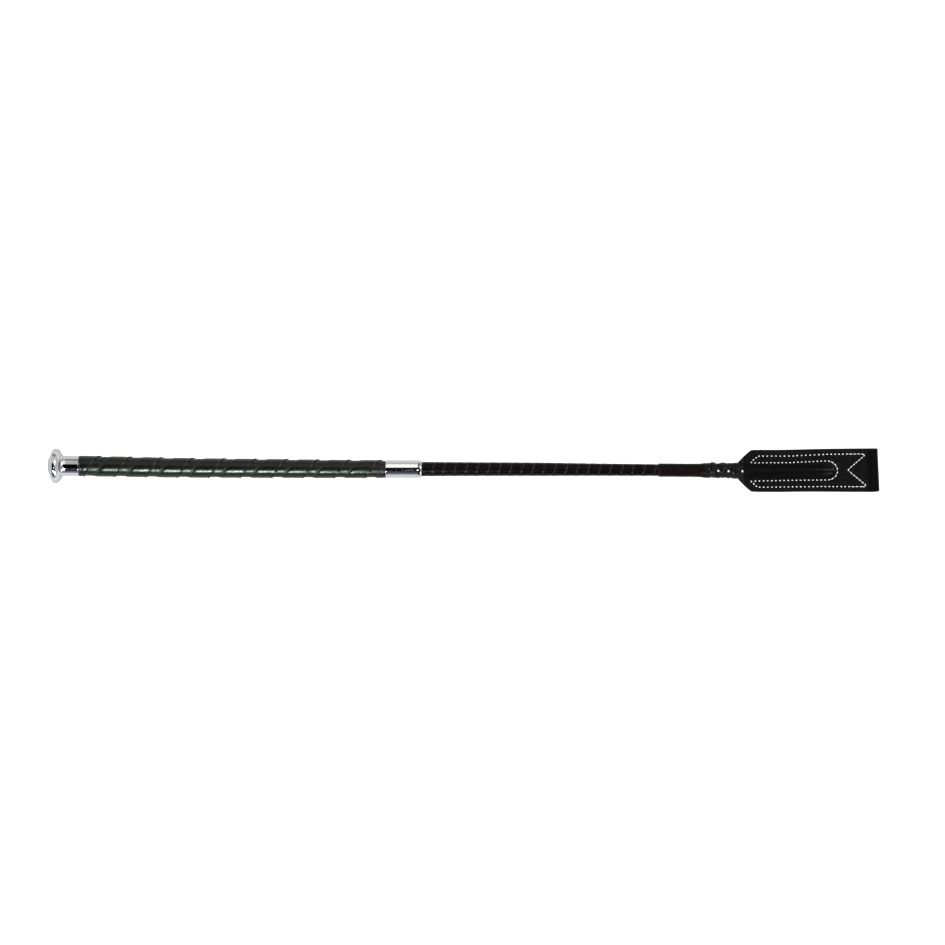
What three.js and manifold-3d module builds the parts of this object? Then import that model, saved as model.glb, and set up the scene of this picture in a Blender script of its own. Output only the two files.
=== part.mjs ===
// Riding crop: a chrome butt cap, a leather handle with a raised spiral strap,
// a chrome ferrule, a spiral-taped shaft, a sleeve and leather neck at the tip,
// and a stitched leather keeper.
//
// Millimetres, +Z up. The stick lies along X with its butt at -X and the
// keeper at +X, the keeper's flat faces looking up and down. The origin is the
// middle of the footprint, on the surface that the crop lies on.

import * as THREE from 'three';
import { mergeVertices } from 'three/addons/utils/BufferGeometryUtils.js';
import Module from 'manifold-3d';

const wasm = await Module();
wasm.setup();

// ---------------------------------------------------------------- dimensions
const TOTAL_LENGTH = 650;          // butt face to the keeper's far edge
const FLANGE_R = 13.5;             // cap flange, the widest round part
const AXIS_Z = FLANGE_R;           // height of the stick's axis
const GAP = 0.3;                   // clearance between touching pieces

const X_BUTT = -TOTAL_LENGTH / 2;
const X_END = TOTAL_LENGTH / 2;

// butt cap
const CAP_FLAT_R = 5.4;            // flat in the middle of the dome
const CAP_NECK_R = 7.75;
const CAP_NECK_START = -314.4;
const CAP_NECK_END = -302.2;
const CAP_BORE_R = 6.1;
const CAP_BORE_END = -313.6;

// stud between cap and rod
const STUD_R = 1.5;
const STUD_X0 = -319.4;
const STUD_X1 = -306.2;

// butt ring
const RING_X0 = -301.9;
const RING_X1 = -300.3;
const RING_R = 8.2;

// leather handle
const GRIP_X0 = -300.0;
const GRIP_X1 = -62.8;
const GRIP_R0 = 8.1;               // over the strap, at the butt
const GRIP_R1 = 7.0;               // over the strap, at the ferrule
const STRAP_LEAD = 24.4;           // spiral advance per turn
const STRAP_WIDTH = 16.4;          // along the axis
const STRAP_T = 0.5;
const STRAP_DROP = 0.8;            // strap surface down to the sleeve surface
const SLEEVE_T = 1.3;
const STRAP_STEPS = 16;            // facets per turn
const STRAP_EDGE_X = -168.9;       // a trailing edge on top of the stick

// core rod
const ROD_X0 = -313.2;
const ROD_X1 = 199.0;
const ROD_R0 = 3.6;
const ROD_R1 = 2.5;

// ferrule
const FER_X0 = -62.2;
const FER_X1 = -33.6;
const FER_R = 6.7;
const FER_BORE_R = 5.95;
const FER_NOSE_R = 2.6;
const BUSH_X1 = -44.4;

// shaft
const SHAFT_X0 = -44.0;
const SHAFT_X1 = 151.0;
const SHAFT_R0 = 5.65;
const SHAFT_R1 = 4.7;
const TAPE_PITCH = 8.7;
const TAPE_WIDTH = 8.2;
const TAPE_T = 0.5;
const TAPE_STEPS = 12;

// tip sleeve and neck
const TIP_X0 = 151.5;
const TIP_FLARE = 180.5;
const TIP_X1 = 188.2;
const TIP_R = 5.25;
const TIP_END_R = 6.05;
const TIP_BORE_R = 4.6;
const NECK_X0 = 188.5;
const NECK_X1 = 211.7;
const NECK_BORE_R = 3.2;
const NECK_PROFILE = [             // x, radius: leather gathered at the ties
  [188.5, 6.0], [190.6, 6.3], [193.3, 6.6], [197.3, 6.1], [201.2, 6.6],
  [203.3, 6.25], [205.5, 6.45], [208.4, 6.1], [211.7, 6.35],
];
const TIE_X = [197.5, 205.5, 216.3];
const TIE_R = 0.6;
const TIE_LENGTH = 3.0;

// keeper
const KEEP_X0 = 212.3;
const KEEP_HALF_T = 2.55;          // two leaves of leather
const LEAF_GAP = 0.3;
const FOLD_T = 3.4;                // leather left solid at the folded end
const KEEP_HALF_W = [              // x, half width
  [212.3, 6.3], [213.3, 6.9], [214.8, 9.0], [218.0, 12.0], [221.1, 14.3],
  [224.2, 16.6], [322.4, 17.3],
];
const CHANNEL_R = 3.1;
const CHANNEL_X1 = 285.2;
const BULGE_PROFILE = [            // outer leather over the tongue
  [212.3, 6.35], [216.3, 6.2], [224.0, 5.9], [250.0, 5.5], [270.0, 5.3],
  [280.0, 4.9], [286.0, 3.7], [291.5, 2.0],
];
const TONGUE_X0 = 206.0;
const TONGUE_X1 = 284.6;
const TONGUE_R = 2.7;

// seams
const THREAD_R = 0.35;
const GROOVE_R = THREAD_R + GAP;
const OUTER_SEAM = [
  [223.7, 6.6], [225.2, 9.2], [227.6, 11.2], [231.0, 12.1], [271.0, 12.5],
  [311.2, 12.8], [312.8, 11.4], [299.5, 0.0], [312.8, -11.4], [311.2, -12.8],
  [271.0, -12.5], [231.0, -12.1], [227.6, -11.2], [225.2, -9.2], [223.7, -6.6],
];
const INNER_SEAM = [
  [226.6, 7.0], [252.0, 7.2], [279.5, 7.7], [284.5, 7.2], [288.6, 5.3],
  [291.1, 2.8], [292.0, 0.0], [291.1, -2.8], [288.6, -5.3], [284.5, -7.2],
  [279.5, -7.7], [252.0, -7.2], [226.6, -7.0],
];

// ------------------------------------------------------------------- helpers
const lerp = (a, b, t) => a + (b - a) * t;
const along = (x, x0, x1, a, b) =>
  lerp(a, b, Math.min(1, Math.max(0, (x - x0) / (x1 - x0))));

const gripR = (x) => along(x, GRIP_X0, GRIP_X1, GRIP_R0, GRIP_R1);
const shaftR = (x) => along(x, SHAFT_X0, SHAFT_X1, SHAFT_R0, SHAFT_R1);
const rodR = (x) => along(x, ROD_X0, ROD_X1, ROD_R0, ROD_R1);

// Shared vertices, no flat triangles, faces out.
function tidy(source) {
  const g = source.clone();
  for (const name of Object.keys(g.attributes)) {
    if (name !== 'position') g.deleteAttribute(name);
  }
  const merged = mergeVertices(g, 1e-4);
  const index = Array.from(merged.index.array);
  const keep = [];
  for (let i = 0; i < index.length; i += 3) {
    const [a, b, c] = index.slice(i, i + 3);
    if (a !== b && b !== c && c !== a) keep.push(a, b, c);
  }
  const p = merged.getAttribute('position');
  let volume = 0;
  const A = new THREE.Vector3(), B = new THREE.Vector3(), C = new THREE.Vector3();
  for (let i = 0; i < keep.length; i += 3) {
    A.fromBufferAttribute(p, keep[i]);
    B.fromBufferAttribute(p, keep[i + 1]);
    C.fromBufferAttribute(p, keep[i + 2]);
    volume += A.dot(B.cross(C));
  }
  if (volume < 0) {
    for (let i = 0; i < keep.length; i += 3) {
      [keep[i + 1], keep[i + 2]] = [keep[i + 2], keep[i + 1]];
    }
  }
  merged.setIndex(keep);
  return merged;
}

function toManifold(geometry) {
  const g = tidy(geometry);
  return new wasm.Manifold(new wasm.Mesh({
    numProp: 3,
    vertProperties: new Float32Array(g.getAttribute('position').array),
    triVerts: new Uint32Array(g.index.array),
  }));
}

function fromManifold(solid) {
  const m = solid.getMesh();
  const g = new THREE.BufferGeometry();
  g.setAttribute('position', new THREE.BufferAttribute(new Float32Array(m.vertProperties), 3));
  g.setIndex(Array.from(m.triVerts));
  return g;
}

// A turned piece about the X axis from [x, radius] points.
function turned(points, sides = 32) {
  const g = new THREE.LatheGeometry(
    points.map(([x, r]) => new THREE.Vector2(r, x)), sides);
  return g.rotateZ(-Math.PI / 2);
}

// A turned tube: the outer profile forwards, the inner profile back.
function tube(outer, inner, sides = 32) {
  const ring = [...outer, ...[...inner].reverse(), outer[0]];
  return turned(ring, sides);
}

// A flat band wound round the X axis as one spiral, cut square at x0 and x1.
function spiral({ x0, x1, lead, width, inner, thick, steps, edgeX, widthSteps = 1 }) {
  const turns = Math.ceil((x1 - x0 + 2 * width) / lead) + 1;
  const n = turns * steps;
  // the band's middle crosses the top of the stick at edgeX - width / 2
  const phase = edgeX - width / 2;
  const back = Math.ceil((phase - (x0 - width)) / lead);
  const start = phase - back * lead;
  const box = new THREE.BoxGeometry(1, 1, 1, n, widthSteps, 1);
  const p = box.getAttribute('position');
  for (let i = 0; i < p.count; i++) {
    const u = (p.getX(i) + 0.5) * turns;
    const x = start + u * lead + p.getY(i) * width;
    const r = inner(x) + (p.getZ(i) + 0.5) * thick;
    const a = 2 * Math.PI * u;
    // the spiral climbs from +Y over the top as X falls
    p.setXYZ(i, x, r * Math.sin(a), r * Math.cos(a));
  }
  const keep = turned([[x0, 0], [x0, 20], [x1, 20], [x1, 0]], 8);
  return fromManifold(toManifold(box).intersect(toManifold(keep)));
}

// A round thread along a flat polyline at height z, mitred at each corner.
function thread(points, z, radius, sides = 6) {
  const n = points.length - 1;
  const g = new THREE.CylinderGeometry(radius, radius, 1, sides, n, false);
  const p = g.getAttribute('position');
  const dirs = [];
  for (let i = 0; i < n; i++) {
    const dx = points[i + 1][0] - points[i][0];
    const dy = points[i + 1][1] - points[i][1];
    const l = Math.hypot(dx, dy);
    dirs.push([dx / l, dy / l]);
  }
  for (let i = 0; i < p.count; i++) {
    const k = Math.round((p.getY(i) + 0.5) * n);
    const d0 = dirs[Math.max(0, k - 1)];
    const d1 = dirs[Math.min(n - 1, k)];
    let tx = d0[0] + d1[0];
    let ty = d0[1] + d1[1];
    const l = Math.hypot(tx, ty);
    tx /= l;
    ty /= l;
    const stretch = 1 / Math.max(0.5, tx * d1[0] + ty * d1[1]);
    const s = p.getX(i) * stretch;
    p.setXYZ(i, points[k][0] - ty * s, points[k][1] + tx * s, z + p.getZ(i));
  }
  return g;
}

function slab(points, z0, z1) {
  const shape = new THREE.Shape(points.map(([x, y]) => new THREE.Vector2(x, y)));
  const g = new THREE.ExtrudeGeometry(shape, { depth: z1 - z0, bevelEnabled: false });
  return g.translate(0, 0, z0);
}

// -------------------------------------------------------------------- assembly
const crop = new THREE.Group();
crop.name = 'riding_crop';
const stick = new THREE.Group();
stick.position.set(0, 0, AXIS_Z);
crop.add(stick);

const chrome = () => new THREE.MeshStandardMaterial({ color: 0xc9cacf, roughness: 0.08, metalness: 1.0 });
const steel = () => new THREE.MeshStandardMaterial({ color: 0x9a9a9c, roughness: 0.4, metalness: 1.0 });
const leather = () => new THREE.MeshStandardMaterial({ color: 0x23241f, roughness: 0.5, metalness: 0.0 });
const strapLeather = () => new THREE.MeshStandardMaterial({ color: 0x2a2b26, roughness: 0.45, metalness: 0.0 });
const keeperLeather = () => new THREE.MeshStandardMaterial({ color: 0x0d0c0c, roughness: 0.6, metalness: 0.0 });
const tape = () => new THREE.MeshStandardMaterial({ color: 0x171213, roughness: 0.6, metalness: 0.0 });
const fibreglass = () => new THREE.MeshStandardMaterial({ color: 0xd9d3bd, roughness: 0.35, metalness: 0.0 });
const plastic = () => new THREE.MeshStandardMaterial({ color: 0x3b3b3d, roughness: 0.6, metalness: 0.0 });
const yarn = () => new THREE.MeshStandardMaterial({ color: 0x1c1a1b, roughness: 0.9, metalness: 0.0 });
const whiteThread = () => new THREE.MeshStandardMaterial({ color: 0xe9e9e6, roughness: 0.8, metalness: 0.0 });
const rubber = () => new THREE.MeshStandardMaterial({ color: 0x0b0b0b, roughness: 0.7, metalness: 0.0 });

function add(name, geometry, material) {
  const mesh = new THREE.Mesh(tidy(geometry), material);
  mesh.name = name;
  stick.add(mesh);
}

// Butt cap: domed head with a lens-shaped flange, a concave step into the neck,
// a cup for the handle core, and a hole for the stud.
add('end_cap', turned([
  [X_BUTT, 0], [X_BUTT, CAP_FLAT_R], [-324.6, 8.2], [-323.8, 10.3],
  [-322.9, 11.9], [-321.8, 13.0], [-320.9, FLANGE_R], [-318.9, FLANGE_R],
  [-317.9, 12.6], [-316.8, 11.1], [-315.7, 9.2], [-315.0, 8.2],
  [CAP_NECK_START, CAP_NECK_R], [CAP_NECK_END - 0.5, CAP_NECK_R],
  [CAP_NECK_END, CAP_NECK_R - 0.4], [CAP_NECK_END, CAP_BORE_R],
  [CAP_BORE_END, CAP_BORE_R], [CAP_BORE_END, STUD_R + GAP],
  [STUD_X0 - GAP, STUD_R + GAP], [STUD_X0 - GAP, 0],
], 40), chrome());

add('cap_stud', turned([
  [STUD_X0, 0], [STUD_X0, STUD_R - 0.4], [STUD_X0 + 0.4, STUD_R],
  [STUD_X1 - 0.4, STUD_R], [STUD_X1, STUD_R - 0.4], [STUD_X1, 0],
], 16), steel());

add('grip_butt_ring', tube(
  [[RING_X0, RING_R - 0.3], [RING_X0 + 0.3, RING_R], [RING_X1 - 0.3, RING_R], [RING_X1, RING_R - 0.3]],
  [[RING_X0, CAP_BORE_R], [RING_X1, CAP_BORE_R]], 24), rubber());

// Tapered core rod, from the butt to inside the neck, bored for the stud.
add('core_rod', turned([
  [ROD_X0, STUD_R + GAP], [ROD_X0, ROD_R0 - 0.3], [ROD_X0 + 0.3, ROD_R0],
  [-180, rodR(-180)], [FER_X0, rodR(FER_X0)], [60, rodR(60)],
  [ROD_X1 - 0.6, ROD_R1], [ROD_X1, ROD_R1 - 0.6], [ROD_X1, 0],
  [STUD_X1 + GAP, 0], [STUD_X1 + GAP, STUD_R + GAP], [ROD_X0, STUD_R + GAP],
], 20), fibreglass());

// Handle core: the built-up tube that gives the handle its thickness.
const coreOut = (x) => gripR(x) - STRAP_DROP - SLEEVE_T - GAP;
add('handle_core', tube(
  [[ROD_X0, coreOut(GRIP_X0)], [GRIP_X0, coreOut(GRIP_X0)], [GRIP_X1, coreOut(GRIP_X1)]],
  [[ROD_X0, rodR(ROD_X0) + GAP], [GRIP_X1, rodR(GRIP_X1) + GAP]], 24), plastic());

// Leather sleeve under the strap.
add('grip_sleeve', tube(
  [[GRIP_X0, gripR(GRIP_X0) - STRAP_DROP], [GRIP_X1, gripR(GRIP_X1) - STRAP_DROP]],
  [[GRIP_X0, gripR(GRIP_X0) - STRAP_DROP - SLEEVE_T], [GRIP_X1, gripR(GRIP_X1) - STRAP_DROP - SLEEVE_T]],
  36), leather());

// Raised leather strap wound round the sleeve.
add('grip_strap', spiral({
  x0: GRIP_X0, x1: GRIP_X1, lead: STRAP_LEAD, width: STRAP_WIDTH,
  inner: (x) => gripR(x) - STRAP_T, thick: STRAP_T, steps: STRAP_STEPS,
  edgeX: STRAP_EDGE_X,
}), strapLeather());

// Ferrule with a rounded nose, open at both ends.
const nose = [];
for (let i = 0; i <= 5; i++) {
  const a = (i / 5) * Math.PI / 2;
  nose.push([FER_X1 - FER_NOSE_R + FER_NOSE_R * Math.sin(a),
    FER_R - (FER_R - FER_BORE_R - 0.05) * (1 - Math.cos(a))]);
}
add('ferrule', tube(
  [[FER_X0, FER_R - 0.25], [FER_X0 + 0.3, FER_R], ...nose],
  [[FER_X0, FER_BORE_R], [FER_X1, FER_BORE_R]], 32), chrome());

add('ferrule_bush', tube(
  [[FER_X0, FER_BORE_R - GAP], [BUSH_X1, FER_BORE_R - GAP]],
  [[FER_X0, rodR(FER_X0) + GAP], [BUSH_X1, rodR(FER_X0) + GAP]], 24), plastic());

// Thread layer round the rod, then the spiral tape over it.
const layOut = (x) => shaftR(x) - TAPE_T - GAP;
add('shaft_underlay', tube(
  [[SHAFT_X0, layOut(SHAFT_X0)], [SHAFT_X1, layOut(SHAFT_X1)]],
  [[SHAFT_X0, rodR(SHAFT_X0) + GAP], [SHAFT_X1, rodR(SHAFT_X1) + GAP]], 24), yarn());

add('shaft_tape', spiral({
  x0: SHAFT_X0, x1: SHAFT_X1, lead: TAPE_PITCH, width: TAPE_WIDTH,
  inner: (x) => shaftR(x) - TAPE_T, thick: TAPE_T, steps: TAPE_STEPS,
  edgeX: -25.0,
}), tape());

// Tip: winding, smooth sleeve, gathered leather neck.
add('tip_winding', tube(
  [[TIP_X0, TIP_BORE_R - GAP], [TIP_X1 - 1.2, TIP_BORE_R - GAP]],
  [[TIP_X0, rodR(TIP_X0) + GAP], [TIP_X1 - 1.2, rodR(TIP_X0) + GAP]], 24), yarn());

add('tip_sleeve', tube(
  [[TIP_X0, TIP_R - 0.3], [TIP_X0 + 0.4, TIP_R], [TIP_FLARE, TIP_R + 0.1],
    [184.6, 5.55], [TIP_X1 - 0.6, TIP_END_R], [TIP_X1, TIP_END_R - 0.25]],
  [[TIP_X0, TIP_BORE_R], [TIP_X1, TIP_BORE_R]], 32), tape());

add('neck_leather', tube(
  NECK_PROFILE, [[NECK_X0, NECK_BORE_R], [NECK_X1, NECK_BORE_R]], 24), keeperLeather());

// White ties through the neck's seam, on top of the stick.
const tieSeat = [6.1, 6.45, 6.2];
TIE_X.forEach((x, i) => {
  const g = new THREE.CapsuleGeometry(TIE_R, TIE_LENGTH - 2 * TIE_R, 3, 10);
  g.rotateZ(-0.12);
  g.translate(x, 0, tieSeat[i] + TIE_R + 0.2);
  add('neck_tie_' + (i + 1), g, whiteThread());
});

// Tongue that stiffens the keeper, in the channel between its leaves.
add('keeper_tongue', turned([
  [TONGUE_X0, 0], [TONGUE_X0, TONGUE_R - 0.4], [TONGUE_X0 + 0.4, TONGUE_R],
  [TONGUE_X1 - 2.0, TONGUE_R - 0.2], [TONGUE_X1 - 0.6, TONGUE_R - 0.8],
  [TONGUE_X1, TONGUE_R - 1.7], [TONGUE_X1, 0],
], 16), leather());

// Keeper: one leather strip folded at its far end, closed round the tongue.
{
  const up = KEEP_HALF_W.map(([x, w]) => [x, w]);
  const outline = [
    ...KEEP_HALF_W.map(([x, w]) => [x, -w]).slice(0, -1),
    [X_END - 1.4, -17.3], [X_END, -16.2],
    [X_END - 1.7, 16.0], [X_END - 3.0, 17.3],
    ...up.slice(0, -1).reverse(),
  ];
  const t = KEEP_HALF_T;
  const plate = toManifold(slab(outline, -t, t));
  // side view: rounded at the folded end
  const fold = [];
  for (let i = 0; i <= 6; i++) {
    const a = -Math.PI / 2 + (i / 6) * Math.PI;
    fold.push([X_END - t * 0.8 + t * 0.8 * Math.cos(a), t * Math.sin(a)]);
  }
  const side = new THREE.Shape([[KEEP_X0 - 1, -t], ...fold, [KEEP_X0 - 1, t]]
    .map(([x, z]) => new THREE.Vector2(x, z)));
  const sideSolid = new THREE.ExtrudeGeometry(side, { depth: 60, bevelEnabled: false });
  sideSolid.translate(0, 0, -30).rotateX(Math.PI / 2);
  const bulge = toManifold(turned(
    [[BULGE_PROFILE[0][0], 0], ...BULGE_PROFILE, [BULGE_PROFILE.at(-1)[0], 0]], 32));
  const slot = toManifold(new THREE.BoxGeometry(X_END - FOLD_T - KEEP_X0 + 2, 60, LEAF_GAP)
    .translate((X_END - FOLD_T + KEEP_X0 - 2) / 2, 0, 0));
  const channel = toManifold(turned([
    [KEEP_X0 - 1, 0], [KEEP_X0 - 1, CHANNEL_R], [CHANNEL_X1 - 2, CHANNEL_R - 0.2],
    [CHANNEL_X1, CHANNEL_R - 1.2], [CHANNEL_X1, 0]], 16));
  let keeper = plate.intersect(toManifold(sideSolid)).add(bulge).subtract(slot).subtract(channel);
  for (const z of [t, -t]) {
    keeper = keeper.subtract(toManifold(thread(OUTER_SEAM, z, GROOVE_R)));
    keeper = keeper.subtract(toManifold(thread(INNER_SEAM, z, GROOVE_R)));
  }
  add('keeper_leather', fromManifold(keeper), keeperLeather());

  add('keeper_seam_outer_front', thread(OUTER_SEAM, t, THREAD_R), whiteThread());
  add('keeper_seam_inner_front', thread(INNER_SEAM, t, THREAD_R), whiteThread());
  add('keeper_seam_outer_back', thread(OUTER_SEAM, -t, THREAD_R), whiteThread());
  add('keeper_seam_inner_back', thread(INNER_SEAM, -t, THREAD_R), whiteThread());
}

export default crop;
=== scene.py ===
import bpy
import math
import numpy as np
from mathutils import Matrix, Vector


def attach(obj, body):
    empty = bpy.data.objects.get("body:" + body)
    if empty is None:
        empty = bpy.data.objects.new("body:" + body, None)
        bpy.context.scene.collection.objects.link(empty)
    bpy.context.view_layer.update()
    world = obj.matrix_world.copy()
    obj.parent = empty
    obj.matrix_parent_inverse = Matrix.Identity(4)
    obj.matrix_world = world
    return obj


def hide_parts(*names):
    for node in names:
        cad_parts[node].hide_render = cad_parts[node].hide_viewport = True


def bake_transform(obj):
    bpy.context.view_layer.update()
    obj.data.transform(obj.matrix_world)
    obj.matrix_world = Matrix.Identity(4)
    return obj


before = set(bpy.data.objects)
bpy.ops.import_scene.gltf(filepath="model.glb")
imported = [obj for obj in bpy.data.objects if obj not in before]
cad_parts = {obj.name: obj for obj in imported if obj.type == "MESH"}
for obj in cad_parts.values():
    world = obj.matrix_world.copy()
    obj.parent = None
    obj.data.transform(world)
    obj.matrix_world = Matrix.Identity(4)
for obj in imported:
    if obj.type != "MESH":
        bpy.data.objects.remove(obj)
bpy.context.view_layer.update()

# ------------------------------------------------------------------ dimensions
# Millimetres, in the row frame. The stick's axis runs along X at this height.
AZ = 13.5
X_BUTT, X_END = -325.0, 325.0
RING_X0, RING_X1 = -300.9, -299.9
GRIP_X0, GRIP_X1 = -299.8, -62.0
GRIP_R0, GRIP_R1 = 8.1, 7.0
STRAP_LEAD, STRAP_WIDTH, STRAP_EDGE_X = 24.4, 16.4, -168.9
FER_X0, FER_X1, FER_R = -61.85, -33.6, 6.85
SHAFT_X0, SHAFT_X1 = -44.0, 151.6
STRAP_RISE = 0.47
TAPE_PITCH, TAPE_SEAM_X = 8.67, -25.0
TIP_X0, TIP_X1 = 151.4, 188.2
MM = 0.001


def lerp(a, b, t):
    return a + (b - a) * np.clip(t, 0, 1)


def grip_r(x):
    return lerp(GRIP_R0, GRIP_R1, (x - GRIP_X0) / (GRIP_X1 - GRIP_X0))


def shaft_r(x):
    return np.interp(x, [-44, -30, 1, 33, 64, 80, 111, 151], [5.68, 5.64, 5.42, 5.32, 5.20, 5.05, 4.80, 4.62])


def smooth(a, b, t):
    t = np.clip((np.asarray(t, float) - a) / (b - a), 0, 1)
    return t * t * (3 - 2 * t)


def gauss(d, s):
    return np.exp(-((d / s) ** 2))


def bow(x):
    """The handle's slight sideways bow, as the real stick has."""
    return -0.90 * smooth(-315, -205, x) * (1 - smooth(-120, 75, x))


# Smooth value noise on a lattice, the same every run.
_lattice = np.random.default_rng(11).random((64, 64, 64))


def noise3(x, y, z, scale):
    p = [np.asarray(v, float) / scale for v in (x, y, z)]
    i = [np.floor(v).astype(int) for v in p]
    f = [v - k for v, k in zip(p, i)]
    f = [t * t * (3 - 2 * t) for t in f]
    out = 0
    for dx in (0, 1):
        for dy in (0, 1):
            for dz in (0, 1):
                w = (f[0] if dx else 1 - f[0]) * (f[1] if dy else 1 - f[1]) * (f[2] if dz else 1 - f[2])
                out = out + w * _lattice[(i[0] + dx) % 64, (i[1] + dy) % 64, (i[2] + dz) % 64]
    return out * 2 - 1


# ---------------------------------------------------------------- mesh helpers
def make(name, verts, faces, mat, attrs=None):
    """A mesh object from millimetre points, faces out, shaded smooth."""
    v = np.array(verts, float)
    v[:, 1] += bow(v[:, 0])
    tri_volume = 0.0
    for f in faces[:: max(1, len(faces) // 20000)]:
        a = v[f[0]]
        for k in range(1, len(f) - 1):
            tri_volume += np.dot(a - v[faces[0][0]], np.cross(v[f[k]] - v[faces[0][0]], v[f[k + 1]] - v[faces[0][0]]))
    if tri_volume < 0:
        faces = [tuple(reversed(f)) for f in faces]
    me = bpy.data.meshes.new(name)
    me.from_pydata((v * MM).tolist(), [], faces)
    me.validate(clean_customdata=False)
    me.polygons.foreach_set("use_smooth", np.ones(len(me.polygons), bool))
    for key, values in (attrs or {}).items():
        at = me.attributes.new(key, "FLOAT", "POINT")
        at.data.foreach_set("value", np.asarray(values, np.float32).ravel())
    me.update()
    ob = bpy.data.objects.new(name, me)
    bpy.context.scene.collection.objects.link(ob)
    ob.data.materials.append(mat)
    return ob


def grid_faces(n, m, wrap_n=False, wrap_m=True, base=0):
    idx = np.arange(n * m).reshape(n, m) + base
    rows = idx if wrap_n else idx[:-1]
    nxt = np.roll(idx, -1, 0) if wrap_n else idx[1:]
    a, d = rows, nxt
    b, c = np.roll(rows, -1, 1), np.roll(nxt, -1, 1)
    if not wrap_m:
        a, b, c, d = a[:, :-1], b[:, :-1], c[:, :-1], d[:, :-1]
    return [tuple(q) for q in np.stack([a, b, c, d], -1).reshape(-1, 4).tolist()]


def shell(name, P, mat, wrap_n=False, attrs=None):
    """A closed body from rings of points P[n][m]; open ends get a middle point."""
    n, m, _ = P.shape
    verts = P.reshape(-1, 3)
    faces = grid_faces(n, m, wrap_n=wrap_n)
    extra = {}
    if not wrap_n:
        verts = np.vstack([verts, P[0].mean(0), P[-1].mean(0)])
        c0, c1 = n * m, n * m + 1
        faces += [(c0, (k + 1) % m, k) for k in range(m)]
        last = (n - 1) * m
        faces += [(c1, last + k, last + (k + 1) % m) for k in range(m)]
        for key, values in (attrs or {}).items():
            values = np.asarray(values, float).reshape(n, m)
            extra[key] = np.concatenate([values.ravel(), [values[0].mean(), values[-1].mean()]])
    else:
        extra = attrs or {}
    return make(name, verts, faces, mat, extra)


def fillet(points, n=6):
    """Rounds each [x, r, radius] corner of an open profile."""
    out = []
    for k, p in enumerate(points):
        x, r = p[0], p[1]
        rad = p[2] if len(p) > 2 else 0
        if rad <= 0 or k in (0, len(points) - 1):
            out.append((x, r))
            continue
        c = np.array([x, r])
        a = np.array(points[k - 1][:2]) - c
        b = np.array(points[k + 1][:2]) - c
        la, lb = np.linalg.norm(a), np.linalg.norm(b)
        a, b = a / la, b / lb
        cut = min(rad, la * 0.48, lb * 0.48)
        for t in np.linspace(0, 1, n):
            q = (1 - t) ** 2 * (c + a * cut) + 2 * t * (1 - t) * c + t ** 2 * (c + b * cut)
            out.append(tuple(q))
    return out


def spread(profile, step):
    """Splits long runs of a profile so that no step is longer than `step`."""
    out = [profile[0]]
    for p, q in zip(profile[:-1], profile[1:]):
        k = max(1, int(math.ceil(math.hypot(q[0] - p[0], q[1] - p[1]) / step)))
        for j in range(1, k + 1):
            out.append((p[0] + (q[0] - p[0]) * j / k, p[1] + (q[1] - p[1]) * j / k))
    return out


def rings(profile, seg, disp=None):
    prof = np.array(profile, float)
    phi = np.linspace(0, 2 * np.pi, seg, endpoint=False)
    x = np.repeat(prof[:, :1], seg, 1)
    r = np.repeat(prof[:, 1:2], seg, 1)
    ph = np.repeat(phi[None], len(prof), 0)
    if disp is not None:
        r = r + disp(x, ph, r)
    return np.stack([x, r * np.sin(ph), AZ + r * np.cos(ph)], -1), x, ph


def turned(name, profile, mat, seg=96, disp=None, closed=False, attr=None):
    """closed: the profile is a loop (a ring or tube); else it starts and ends near the axis."""
    P, x, ph = rings(profile, seg, disp)
    attrs = {k: f(x, ph) for k, f in (attr or {}).items()}
    return shell(name, P, mat, wrap_n=closed, attrs=attrs)


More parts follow.
